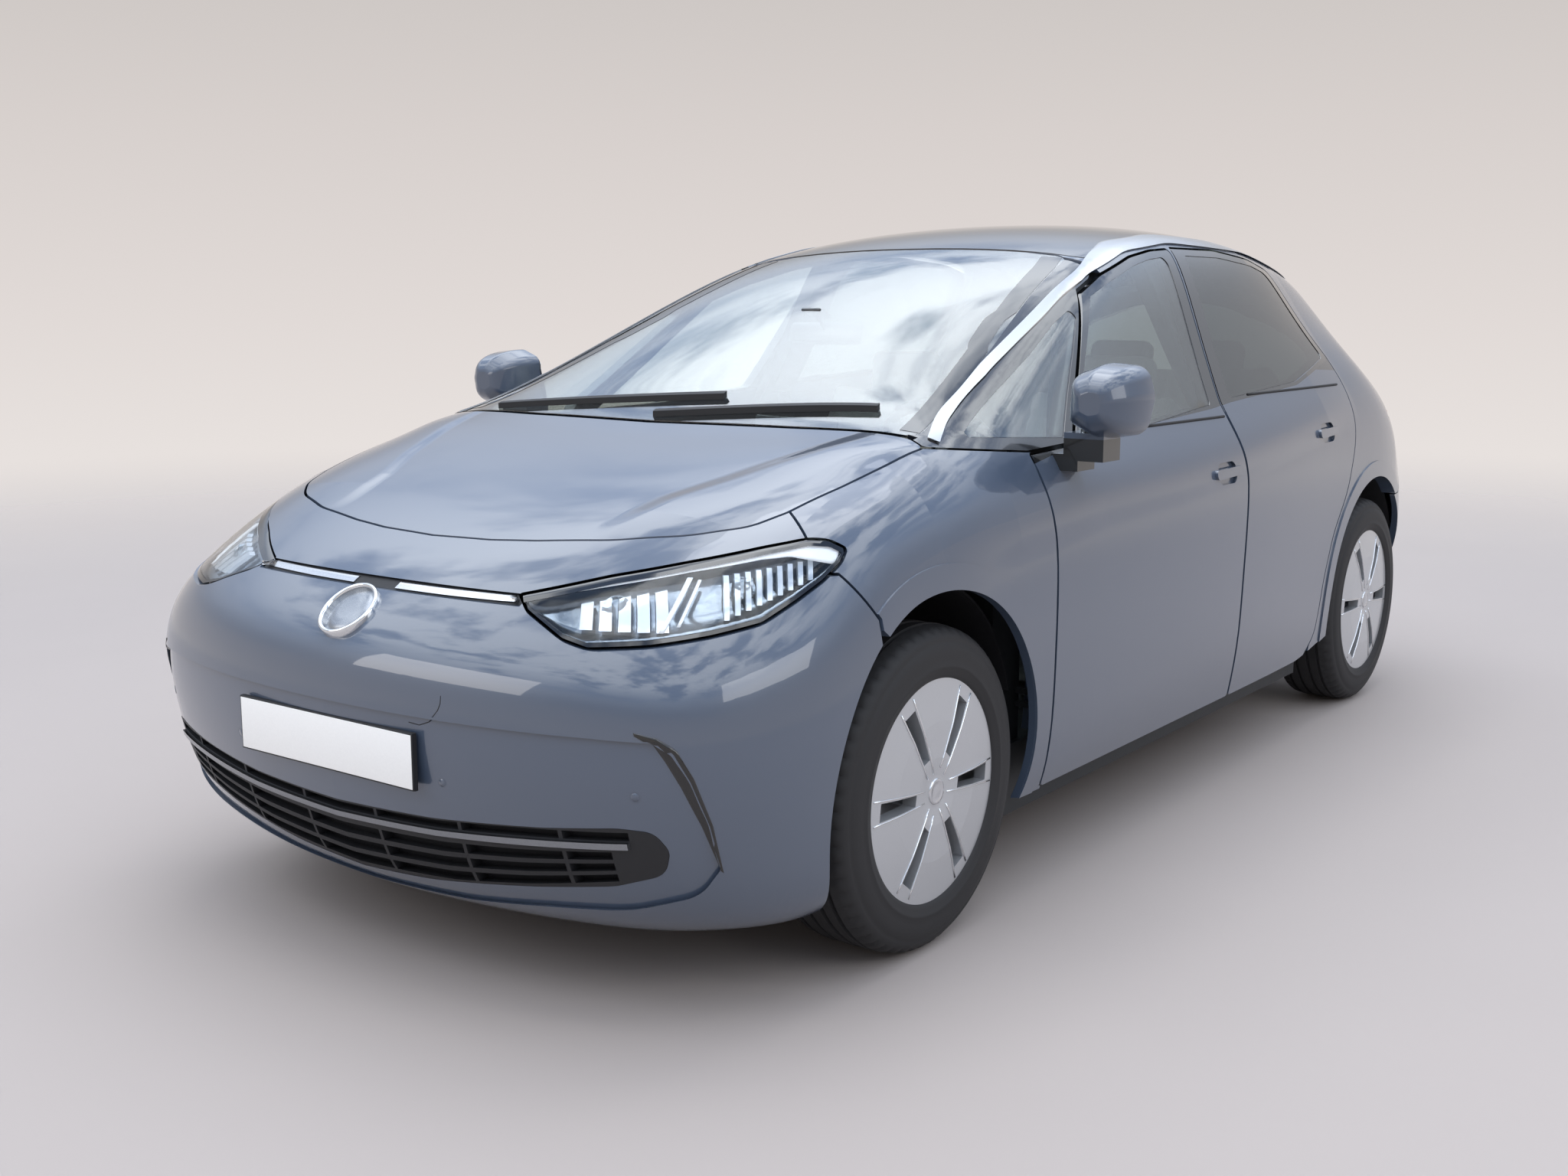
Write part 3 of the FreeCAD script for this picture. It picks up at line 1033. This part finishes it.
def knuckle():
    """Left steering knuckle: kingpin, upright, stub axle, caliper and steering arm."""
    centre = Vector(size("front_track") / 2, front_axle, size("tyre_radius"))
    x = centre.x - size("kingpin_offset")
    pin_radius = size("kingpin_radius")
    foot = size("ball_height")
    crown = size("strut_foot_height")
    pin = rod(pin_radius, Vector(x, front_axle, foot - pin_radius), Vector(x, front_axle, crown + pin_radius))
    back = x - pin_radius - gap / 2
    front = centre.x - size("disc_thickness") - gap
    tall = size("hub_radius") * 1.6
    block = Part.makeBox(front - back, tall * 1.3, tall * 2,
                         Vector(back, front_axle - tall * 0.65, centre.z - tall))
    stub = rod(size("stub_radius"), Vector(x, front_axle, centre.z),
               Vector(centre.x + size("tyre_width") * 0.27, front_axle, centre.z))
    return [pin, block, stub, caliper(centre, back, front)], x


def caliper(centre, back, front):
    """Brake caliper that straddles the disc behind the axle, with its carrier."""
    disc = size("disc_radius")
    half = size("hub_radius")
    width = size("disc_thickness")
    outer = Part.makeBox(centre.x + width - back, disc * 0.5, half * 2.2,
                         Vector(back, centre.y + disc * 0.68, centre.z - half * 1.1))
    slot = Part.makeCylinder(disc + gap, width + gap * 1.6,
                             Vector(centre.x - width * 0.85 - gap * 0.8, centre.y, centre.z), Vector(1, 0, 0))
    carrier = Part.makeBox(front - back, disc * 0.8, half, Vector(back, centre.y, centre.z - half / 2))
    return outer.cut(slot).fuse(carrier)


def front_suspension():
    """Subframe with its lower arms, and the struts with their foot links."""
    y = front_axle
    x = size("front_track") / 2 - size("kingpin_offset")
    low = size("ball_height")
    crown = size("strut_foot_height")
    pin = size("kingpin_radius")
    bore_radius = pin + size("seat_gap")
    plate = pin * 0.8
    member = box(-size("wheelhouse_inner") * 0.72, size("wheelhouse_inner") * 0.72,
                 size("front_overhang") - size("disc_radius"), size("front_overhang") + size("disc_radius") * 1.4,
                 low - pin, low + pin * 2)
    root = size("wheelhouse_inner") * 0.7
    arms = []
    for side in (1, -1):
        corners = [Vector(side * root, y - size("disc_radius") * 0.9, low - plate / 2),
                   Vector(side * x, y - pin * 1.4, low - plate / 2),
                   Vector(side * x, y + pin * 1.4, low - plate / 2),
                   Vector(side * root, y + size("disc_radius"), low - plate / 2)]
        arm = Part.Face(Part.makePolygon(corners + [corners[0]])).extrude(Vector(0, 0, plate))
        end = Part.makeCylinder(pin * 1.45, plate, Vector(side * x, y, low - plate / 2))
        bore = Part.makeCylinder(bore_radius, plate * 3, Vector(side * x, y, low - plate * 1.5))
        arms.append(arm.fuse(end).cut(bore))
        for shift in (-0.9, 1.2):
            arms.append(box(min(side * root * 0.95, side * size("rail_outer")), max(side * root * 0.95, side * size("rail_outer")),
                            size("front_overhang") + shift * size("disc_radius") - pin,
                            size("front_overhang") + shift * size("disc_radius") + pin, low, size("rail_base")))
    strut_x = x - size("strut_offset")
    strut = rod(size("strut_radius"), Vector(strut_x, y, crown - pin), Vector(strut_x, y, size("strut_top")))
    spring = rod(size("spring_radius"), Vector(strut_x, y, size("spring_base")),
                 Vector(strut_x, y, size("strut_top")))
    link = Part.makeBox(x - strut_x, pin * 2, plate, Vector(strut_x, y - pin, crown - plate / 2))
    ring = Part.makeCylinder(pin * 1.45, plate, Vector(x, y, crown - plate / 2))
    bore = Part.makeCylinder(bore_radius, plate * 3, Vector(x, y, crown - plate * 1.5))
    left = strut.multiFuse([spring, link, ring]).cut(bore)
    return member.multiFuse(arms), left


def rear_suspension():
    """Fixed rear carriers with stub axles and calipers, arms, springs and cross member."""
    low = size("ball_height")
    pin = size("kingpin_radius")
    centre = Vector(size("rear_track") / 2, rear_axle, size("tyre_radius"))
    back = centre.x - size("kingpin_offset") - pin - gap / 2
    front = centre.x - size("disc_thickness") - gap
    tall = size("hub_radius") * 1.6
    block = Part.makeBox(front - back, tall * 1.3, tall * 2.6,
                         Vector(back, rear_axle - tall * 0.65, centre.z - tall * 1.6))
    stub = rod(size("stub_radius"), Vector(back + pin, rear_axle, centre.z),
               Vector(centre.x + size("tyre_width") * 0.27, rear_axle, centre.z))
    member_half = size("rear_house_inner") * 0.62
    reach = centre.x - size("kingpin_offset")
    arms = [rod(pin, Vector(member_half, rear_axle + shift, low + pin * 2),
                Vector(reach - pin, rear_axle + shift * 0.3, low + pin * 2.4)) for shift in (-tall, tall)]
    trailing = rod(pin * 1.3, Vector(size("rear_house_inner") * 0.92, rear_axle - size("tyre_radius") * 1.35,
                                     size("sill_base") + size("sill_height") * 0.45),
                   Vector(reach - pin, rear_axle - tall * 0.4, centre.z - pin * 2))
    spring = rod(size("spring_radius") * 0.8, Vector(size("rear_house_inner") * 0.85, rear_axle + tall, low + pin),
                 Vector(size("rear_house_inner") * 0.85, rear_axle + tall, size("boot_floor_height") - overrun))
    hanger = box(size("rear_house_inner") * 0.88, size("rear_house_inner") * 0.96,
                 size("front_overhang") + size("wheelbase") - size("tyre_radius") * 1.42, size("sill_rear") - gap,
                 size("sill_base") + size("sill_height") * 0.3, size("floor_base"))
    bracket = box(size("motor_length") / 2 + size("seat_gap"), member_half + pin,
                  size("front_overhang") + size("wheelbase") - size("disc_radius") * 0.3,
                  size("front_overhang") + size("wheelbase") + size("disc_radius") * 0.3,
                  low + pin, size("motor_height") + pin)
    left = block.multiFuse([stub, caliper(centre, back, front), trailing, spring, hanger, bracket] + arms)
    member = box(-member_half, member_half, size("front_overhang") + size("wheelbase") + size("motor_radius") + gap,
                 size("front_overhang") + size("wheelbase") + size("motor_radius") + overrun * 1.5, low, low + pin * 3)
    front_member = box(-member_half, member_half,
                       size("front_overhang") + size("wheelbase") - size("motor_radius") - overrun * 1.5,
                       size("front_overhang") + size("wheelbase") - size("motor_radius") - gap, low, low + pin * 3)
    ties = [box(side * member_half - pin, side * member_half + pin,
                size("front_overhang") + size("wheelbase") - size("motor_radius") - overrun,
                size("front_overhang") + size("wheelbase") + size("motor_radius") + overrun,
                low, low + pin * 3) for side in (1, -1)]
    return member.multiFuse([front_member] + ties + [left, mirror(left)])


def wheelhouse(y, inner, opening):
    """Arched liner over a left wheel with a closed inner side."""
    radius = size("wheelhouse_radius")
    wall = size("liner_thickness")
    deep = half_width - size("liner_outset") - inner
    z = arch_height
    shell = Part.makeCylinder(radius + wall, deep, Vector(inner, y, z), Vector(1, 0, 0))
    shell = shell.cut(Part.makeCylinder(radius, deep, Vector(inner + wall, y, z), Vector(1, 0, 0)))
    low = Part.makeBox(deep * 2, radius * 3, radius * 2, Vector(inner - wall, y - radius * 1.5,
                                                                opening - radius * 2))
    return shell.cut(low)


def front_liner():
    """Left front wheelhouse; the skin's own shape limits it outside, and the strut passes its top."""
    shell = wheelhouse(front_axle - gap, size("wheelhouse_inner"), size("front_liner_base"))
    strut_x = size("front_track") / 2 - size("kingpin_offset") - size("strut_offset")
    hole = Part.makeCylinder(size("spring_radius") + gap, height,
                             Vector(strut_x, front_axle, size("tyre_radius") * 1.6))
    door_side = box(0, half_width * 2, size("front_pillar_front") - gap, length, 0, height)
    return shell.cut([hole, door_side])


def underbody():
    """Floor, bulkhead, rails, towers, crash beam and boot tub of the body."""
    rail = size("rail_width")
    top = size("floor_base") + size("floor_thickness")
    inner = size("wheelhouse_inner")
    wall = size("bulkhead_front") + size("bulkhead_thickness")
    liner_top = arch_height + size("wheelhouse_radius") + size("liner_thickness") * 2
    floor = box(-size("sill_inner"), size("sill_inner"), size("sill_front") + rail / 2, size("sill_rear"),
                size("floor_base"), top)
    parts = [box(-inner, inner, size("bulkhead_front"), size("sill_front") + rail, size("floor_base"), top),
             box(-size("boot_half_width"), size("boot_half_width"), size("sill_rear") - rail,
                 size("boot_floor_front") + rail, size("floor_base"), top),
             box(-inner, inner, size("bulkhead_front"), wall, size("floor_base"), size("bulkhead_top")),
             box(-size("pillar_inner"), size("pillar_inner"), size("bulkhead_front"), wall, liner_top,
                 size("bulkhead_top"))]
    for side in (1, -1):
        inner = size("rail_inner")
        parts.append(box(min(side * inner, side * size("rail_outer")), max(side * inner, side * size("rail_outer")),
                         size("beam_rear") - rail / 2, size("bulkhead_front") + rail / 2, size("rail_base"),
                         size("rail_top")))
        tower_x = size("front_track") / 2 - size("kingpin_offset") - size("strut_offset")
        x_low = min(side * inner, side * (tower_x + size("spring_radius")))
        x_high = max(side * inner, side * (tower_x + size("spring_radius")))
        parts.append(box(x_low, x_high, size("front_overhang") - size("spring_radius") * 1.5,
                         size("front_overhang") + size("spring_radius") * 1.5, size("strut_top"),
                         size("strut_top") + rail / 2))
        parts.append(box(min(side * inner, side * (inner + rail / 2)), max(side * inner, side * (inner + rail / 2)),
                         size("front_overhang") - size("spring_radius") * 1.5,
                         size("front_overhang") + size("spring_radius") * 1.5,
                         size("rail_base") + rail, size("strut_top") + rail / 4))
        house = size("rear_house_inner")
        parts.append(box(min(side * (house - rail * 3.5), side * house), max(side * (house - rail * 3.5), side * house),
                         size("boot_floor_front"), size("boot_floor_rear"),
                         size("boot_floor_height") - rail * 2, size("boot_floor_height") + rail / 3))
    parts.append(box(-size("beam_half_width"), size("beam_half_width"), size("beam_front"), size("beam_rear"),
                     size("rail_base"), size("rail_top")))
    step = box(-size("boot_half_width"), size("boot_half_width"), size("boot_floor_front"),
               size("boot_floor_front") + rail, size("floor_base"), size("boot_floor_height"))
    boot = box(-size("boot_half_width"), size("boot_half_width"), size("boot_floor_front"),
               size("boot_floor_rear"), size("boot_floor_height"),
               size("boot_floor_height") + size("boot_floor_thickness"))
    ledge_half = size("beam_half_width") * 0.9
    ledge = box(-ledge_half, ledge_half, size("boot_floor_rear") - rail, size("boot_floor_rear") + rail,
                size("rail_base") + rail, size("boot_floor_height") + size("boot_floor_thickness"))
    seat = thick(patch(20, 22.6, 0.1, 3.4), (-0.5, -0.8, 0.1), size("tyre_radius"),
                 size("bumper_depth") + size("seat_gap"))
    seat = seat.common(box(gap * 3, ledge_half, size("boot_floor_rear") + rail / 2, length,
                           size("rail_base") + rail * 1.5, size("boot_floor_height")))
    return floor.multiFuse(parts + [step, boot, ledge, seat, mirror(seat)])


def front_carrier():
    """Frame behind the nose that carries the lamps, the nose panel, the slot and the bumper."""
    plate = size("carrier_plate")
    spare = size("seat_gap")
    lamp_seat = thick(patch(2.5, 8.5, .7, 9), (-0.35, 0.9, -0.15), plate,
                      size("lamp_inset") + size("lamp_depth") + spare)
    lamp_seat = lamp_seat.common(corner_view(lamp_shares, -size("rail_width")))
    nose_seat = thick(patch(4, 8, 0.1, 2.5), (0, 0.65, -0.65), plate * 1.5, size("panel_depth") + spare)
    nose_seat = nose_seat.common(box(gap, size("rail_outer"), 0, size("beam_rear") * 1.9, lamp_level, height))
    foam = thick(patch(0.6, 2.2, 0.1, 3.2), (-0.5, 0.8, 0.1), size("beam_rear"), size("bumper_depth") + spare)
    foam = foam.common(box(gap * 3, size("beam_half_width") * 0.9, 0, size("beam_front") - spare,
                           size("rail_base") + plate, size("rail_top")))
    post = box(size("rail_inner") + plate, size("rail_outer"), size("beam_rear") * 1.5, size("beam_rear") * 1.9,
               size("rail_top"), lamp_level + plate * 2)
    left = [lamp_seat, nose_seat, post]
    bar = box(-size("rail_outer"), size("rail_outer"), size("beam_rear") * 1.6, size("beam_rear") * 1.78,
              lamp_level - plate, lamp_level + plate * 3)
    stem = thick(patch(3, 7, -1, 1), (0, 1, 0), size("beam_rear"),
                 size("lamp_inset") * 3 + size("panel_depth") * 2 + spare)
    stem = stem.common(end_view(bar_shares, -1, -spare)).common(
        box(-size("rail_outer"), size("rail_outer"), 0, size("beam_rear") * 1.7, 0, height))
    frame = bar.multiFuse(left + [mirror(piece) for piece in left] + [stem])
    screw_wells = [Part.makeCylinder(size("plate_screw_radius") * 3, overrun * 4,
                                     Vector(size("plate_screw_spacing") / 2, station(-overrun), size("plate_level")),
                                     Vector(0, 1, 0))]
    return frame.cut([lamp_shell, mirror(lamp_shell), nose_shell, bar_shell]), foam.cut(screw_wells)


def lid_hinges():
    """Pins and brackets that carry the bonnet and the tailgate."""
    pieces = []
    pin = size("lid_pin_radius")
    wide = size("lid_arm_width")
    for side in (1, -1):
        for x, axis, post in ((side * size("bonnet_arm_offset"), bonnet_axis, "down"),
                              (side * size("tailgate_arm_offset"), tailgate_axis, "forward")):
            middle = axis + Vector(x, 0, 0)
            pieces.append(rod(pin, middle - Vector(wide * 1.4, 0, 0), middle + Vector(wide * 1.4, 0, 0)))
            for shift in (-wide * 1.4, wide * 0.7):
                corner = middle + Vector(shift, -pin * 1.5, -pin * 1.5)
                if post == "down":
                    tall = corner.z + pin * 3 - size("bulkhead_top") + pin * 4
                    deep = station(size("bulkhead_front")) - corner.y
                    pieces.append(Part.makeBox(wide * 0.7, deep, tall, corner - Vector(0, 0, tall - pin * 3)))
                else:
                    pieces.append(Part.makeBox(wide * 0.7, overrun + pin * 3, pin * 3, corner - Vector(0, overrun, 0)))
    return pieces


def tray():
    """Cover under the bonnet over the heat exchanger and the strut towers."""
    cover = thick(patch(5.5, 9.4, -2.6, 2.6), (0, 0, -1), size("rim_wall"), size("panel_depth") * 4)
    cover = cover.common(plan_view([(0, .085, 0), (.62, .11, 0), (.62, .235, 0), (0, .235, 0)]))
    half = size("wheelhouse_inner") * 0.85
    back = size("bulkhead_front") - size("seat_gap")
    web = size("rim_wall")
    front = back - overrun * 1.3
    top = size("bulkhead_top") - web
    return cover.multiFuse([box(-half, half, front, back, top - web, top),
                            box(-half, half, front, front + web, top - web, size("tray_web_top"))])


def dashboard():
    top = size("dash_top")
    base = size("dash_base")
    front = size("dash_front")
    rear = size("dash_rear")
    half = size("dash_half_width")
    deep = rear - front
    profile = [(front, base + (top - base) * .45, 0), (front, top - overrun * .8, .05),
               (front + deep * .45, top, .05), (rear - deep * .05, top - overrun * .35, .02),
               (rear, top - overrun * 1.4, .03), (rear - deep * .25, base + overrun, .05),
               (front + deep * .35, base, .03)]
    corners = [(a, b, r * height) for a, b, r in profile]
    face = Part.Face(corner_path(corners, lambda p: Vector(-half, station(p.x), p.y)))
    panel = face.extrude(Vector(half * 2, 0, 0))
    lean = math.radians(size("steering_tilt"))
    toward = Vector(0, -math.cos(lean), -math.sin(lean))
    middle = Vector(size("seat_offset"), station(size("steering_station")), size("steering_height"))
    sleeve = rod(size("steering_rim_radius") * 1.6 + size("seat_gap"), middle,
                 middle + toward * (size("steering_radius") * 1.4 + size("seat_gap")))
    return panel.cut(sleeve)


def mirror_housing():
    """Left door mirror: domed shell with a flat glass side, on a foot from the door."""
    inner_x = skin_point(size("mirror_station"), size("belt_height")).x + gap * 5
    half_x = (size("mirror_span") / 2 - inner_x) / 2
    half_z = size("mirror_half_height")
    middle_x = inner_x + half_x
    wires = []
    for depth_share, wide_share in mirror_section_shares:
        y = station(size("mirror_station") - depth_share * size("mirror_depth"))
        corners = [(middle_x + a * half_x * wide_share, size("mirror_height") + b * half_z * wide_share,
                    r * half_z * wide_share) for a, b, r in mirror_outline_shares]
        wires.append(corner_path(corners, lambda p, y=y: Vector(p.x, y, p.y)))
    shell = Part.makeLoft(wires, True, False)
    rear = station(size("mirror_station"))
    glass = wires[-1].copy()
    glass.scale(0.9, Vector(middle_x, rear, size("mirror_height")))
    recess = Part.Face(glass).extrude(Vector(0, gap * 2, 0)).translated(Vector(0, -gap, 0))
    foot = box(inner_x - gap * 7, inner_x + gap * 4, size("mirror_foot_front"), size("mirror_foot_rear"),
               size("mirror_foot_base"), size("mirror_foot_top"))
    neck = box(inner_x - gap * 2, middle_x, size("mirror_foot_front"), size("mirror_foot_rear"),
               size("mirror_foot_base") + gap * 4, size("mirror_height") - half_z * 0.8)
    return shell.multiFuse([foot, neck]).cut(recess)


def wiper(pivot_share, tip_share):
    """Wiper arm and blade that lie along the glass."""
    wide = size("wiper_width") / half_width
    (ax, ay), (bx, by) = pivot_share, tip_share
    run = math.hypot((bx - ax) * half_width, (by - ay) * length)
    nx = -(by - ay) * length / run * wide / 2 * 1
    ny = (bx - ax) * half_width / run * wide / 2 * half_width / length
    corners = [(ax + nx, ay + ny, 0), (bx + nx, by + ny, 0), (bx - nx, by - ny, 0), (ax - nx, ay - ny, 0)]
    band = patch(8.5, 13, -3.6, 3.6)
    return thick(band, (0, -0.5, 0.85), size("wiper_width"), size("seat_gap") - size("glass_inset")).common(
        plan_view(corners, 0, False))


lamp_level = lamp_shares[0][1] * height
knuckle_parts, kingpin_x = knuckle()
pair("knuckle", knuckle_parts[0].multiFuse(knuckle_parts[1:]))
subframe, strut_left = front_suspension()
add("front_subframe", subframe)
both("front_struts", strut_left)
add("rear_suspension", rear_suspension())
carrier, foam = front_carrier()
add("front_carrier", carrier)
both("bumper_foam", foam)
both("front_liners", front_liner().cut([bumper_shell, fender_shell]))
both("rear_liners", wheelhouse(rear_axle, size("rear_house_inner"), size("rear_liner_base")).cut([quarter, rear_shell]))
add("underbody", underbody())
hinge_pieces = lid_hinges()
add("lid_hinges", hinge_pieces[0].multiFuse(hinge_pieces[1:]))
add("front_tray", tray())
add("dashboard", dashboard())
pair("door_mirror", mirror_housing().cut([front_leaf, front_glass]))
add("wipers", wiper((-.62, .241), (.12, .262)).fuse(wiper((-.02, .236), (.60, .262))))
wheel_places = {
    "front_left": (terms((0.5, "front_track")), at_station((1, "front_overhang")), terms((1, "tyre_radius")), 1),
    "front_right": (terms((-0.5, "front_track")), at_station((1, "front_overhang")), terms((1, "tyre_radius")), -1),
    "rear_left": (terms((0.5, "rear_track")), at_station((1, "front_overhang"), (1, "wheelbase")),
                  terms((1, "tyre_radius")), 1),
    "rear_right": (terms((-0.5, "rear_track")), at_station((1, "front_overhang"), (1, "wheelbase")),
                   terms((1, "tyre_radius")), -1),
}
for corner, (x, y, z, side) in wheel_places.items():
    tyre("tyre_" + corner, (x, y, z))
    wheel("wheel_" + corner, (x, y, z), side)


def battery_case():
    case = bound_box("BatteryBox", (terms((2, "battery_half_width")), terms((1, "battery_rear"), (-1, "battery_front")),
                                    terms((1, "floor_base"), (-1, "battery_base"), (-1, "seat_gap"))),
                     (terms((-1, "battery_half_width")), at_station((1, "battery_front")), terms((1, "battery_base"))))
    return alone(softened(case, "battery_round"), "battery_case")


def drive_motor():
    motor = bound_rod("MotorCase", terms((1, "motor_radius")), terms((1, "motor_length")),
                      (terms((-0.5, "motor_length")), at_station((1, "front_overhang"), (1, "wheelbase")),
                       terms((1, "motor_height"))), along_x)
    return alone(motor, "drive_motor")


def front_seat(side, word):
    centre = side * 1.0
    round_alias = "seat_round"
    cushion = bound_box("Cushion" + word, (terms((1, "seat_width")), terms((1, "seat_length")),
                                           terms((1, "cushion_height"))),
                        (terms((centre, "seat_offset"), (-0.5, "seat_width")), at_station((1, "seat_front")),
                         terms((1, "cushion_base"))))
    lean = (Vector(1, 0, 0), -size("back_angle"))
    back = bound_box("Back" + word, (terms((1, "seat_width")), terms((1, "back_thickness")),
                                     terms((1, "back_height"))),
                     (terms((centre, "seat_offset"), (-0.5, "seat_width")),
                      at_station((1, "seat_front"), (1, "seat_length"), (-0.6, "back_thickness")),
                      terms((1, "cushion_base"), (0.3, "cushion_height"))), lean)
    head = bound_box("Head" + word, (terms((1, "headrest_width")), terms((1, "headrest_depth")),
                                     terms((1, "headrest_height"))),
                     (terms((centre, "seat_offset"), (-0.5, "headrest_width")),
                      at_station((1, "seat_front"), (1, "seat_length"), (-0.45, "back_thickness"),
                                 (0.385, "back_height")),
                      terms((1, "cushion_base"), (0.3, "cushion_height"), (0.92, "back_height"))), lean)
    stem = bound_box("Stem" + word, (terms((0.45, "headrest_width")), terms((0.2, "headrest_depth")),
                                     terms((0.6, "headrest_height"))),
                     (terms((centre, "seat_offset"), (-0.225, "headrest_width")),
                      at_station((1, "seat_front"), (1, "seat_length"), (-0.45, "back_thickness"),
                                 (0.385, "back_height"), (0.18, "headrest_depth")),
                      terms((1, "cushion_base"), (0.3, "cushion_height"), (0.92, "back_height"),
                            (-0.37, "headrest_height"))), lean)
    rails = bound_box("Rails" + word, (terms((0.8, "seat_width")), terms((0.8, "seat_length")),
                                       terms((1, "cushion_base"), (-1, "floor_base"), (-1, "floor_thickness"),
                                             (1, "seat_round"))),
                      (terms((centre, "seat_offset"), (-0.4, "seat_width")),
                       at_station((1, "seat_front"), (0.1, "seat_length")),
                       terms((1, "floor_base"), (1, "floor_thickness"))))
    return joined("seat_" + word, [softened(cushion, round_alias), softened(back, round_alias),
                                   softened(head, round_alias), stem, rails])


def rear_seat():
    cushion = bound_box("RearCushion", (terms((1, "rear_seat_width")), terms((1, "rear_cushion_length")),
                                        terms((1, "cushion_height"), (1, "seat_round"))),
                        (terms((-0.5, "rear_seat_width")), at_station((1, "rear_seat_front")),
                         terms((1, "cushion_base"), (-1, "seat_round"))))
    base = bound_box("RearBase", (terms((0.96, "rear_seat_width")), terms((0.7, "rear_cushion_length")),
                                  terms((1, "cushion_base"), (-1, "floor_base"), (-1, "floor_thickness"))),
                     (terms((-0.48, "rear_seat_width")), at_station((1, "rear_seat_front"), (0.1, "rear_cushion_length")),
                      terms((1, "floor_base"), (1, "floor_thickness"))))
    lean = (Vector(1, 0, 0), -size("rear_back_angle"))
    back = bound_box("RearBack", (terms((1, "rear_seat_width")), terms((1, "rear_back_thickness")),
                                  terms((1, "rear_back_height"))),
                     (terms((-0.5, "rear_seat_width")),
                      at_station((1, "rear_seat_front"), (1, "rear_cushion_length"), (-1, "rear_back_thickness")),
                      terms((1, "cushion_base"), (0.95, "cushion_height"))), lean)
    parts = [softened(cushion, "seat_round"), softened(back, "seat_round"), base]
    for word, place in (("Left", 0.29), ("Middle", 0), ("Right", -0.29)):
        head = bound_box("RearHead" + word, (terms((0.9, "headrest_width")), terms((0.9, "headrest_depth")),
                                             terms((0.9, "headrest_height"))),
                         (terms((place, "rear_seat_width"), (-0.45, "headrest_width")),
                          at_station((1, "rear_seat_front"), (1, "rear_cushion_length"), (-0.85, "rear_back_thickness"),
                                     (0.42, "rear_back_height")),
                          terms((1, "cushion_base"), (0.95, "cushion_height"), (0.86, "rear_back_height"))), lean)
        parts.append(softened(head, "seat_round"))
    return joined("rear_seat", parts)


def steering_wheel():
    lean = (Vector(1, 0, 0), 90 + size("steering_tilt"))
    place = (terms((1, "seat_offset")), at_station((1, "steering_station")), terms((1, "steering_height")))
    rim = doc.addObject("Part::Torus", "SteeringRim")
    rim.setExpression("Radius1", "Sizes.steering_radius")
    rim.setExpression("Radius2", "Sizes.steering_rim_radius")
    bound_place(rim, *place, lean)
    boss = bound_rod("SteeringBoss", terms((0.36, "steering_radius")), terms((2, "steering_rim_radius")), place, lean)
    column = bound_rod("SteeringColumn", terms((1.6, "steering_rim_radius")), terms((1.4, "steering_radius")),
                       place, lean)
    spoke = bound_box("SteeringSpoke", (terms((2, "steering_radius")), terms((1.5, "steering_rim_radius")),
                                        terms((1, "steering_rim_radius"))),
                      (terms((1, "seat_offset"), (-1, "steering_radius")), at_station((1, "steering_station")),
                       terms((1, "steering_height"), (-0.75, "steering_rim_radius"))), lean)
    return joined("steering_wheel", [rim, boss, column, spoke])


battery_case()
drive_motor()
front_seat(1, "left")
front_seat(-1, "right")
rear_seat()
steering_wheel()


# Every sub-part is checked before anything is written
doc.recompute()
for item in doc.Objects:
    if "Invalid" in item.State or "Error" in item.State:
        raise RuntimeError("failed object: " + item.Name)
os.makedirs("parts", exist_ok=True)
for item in NODES:
    if item.Shape.isNull() or not item.Shape.isValid():
        raise RuntimeError("bad shape: " + item.Label)
for item in NODES:
    item.Shape.exportStep("parts/%s.step" % item.Label)
print(len(NODES), "sub-parts")
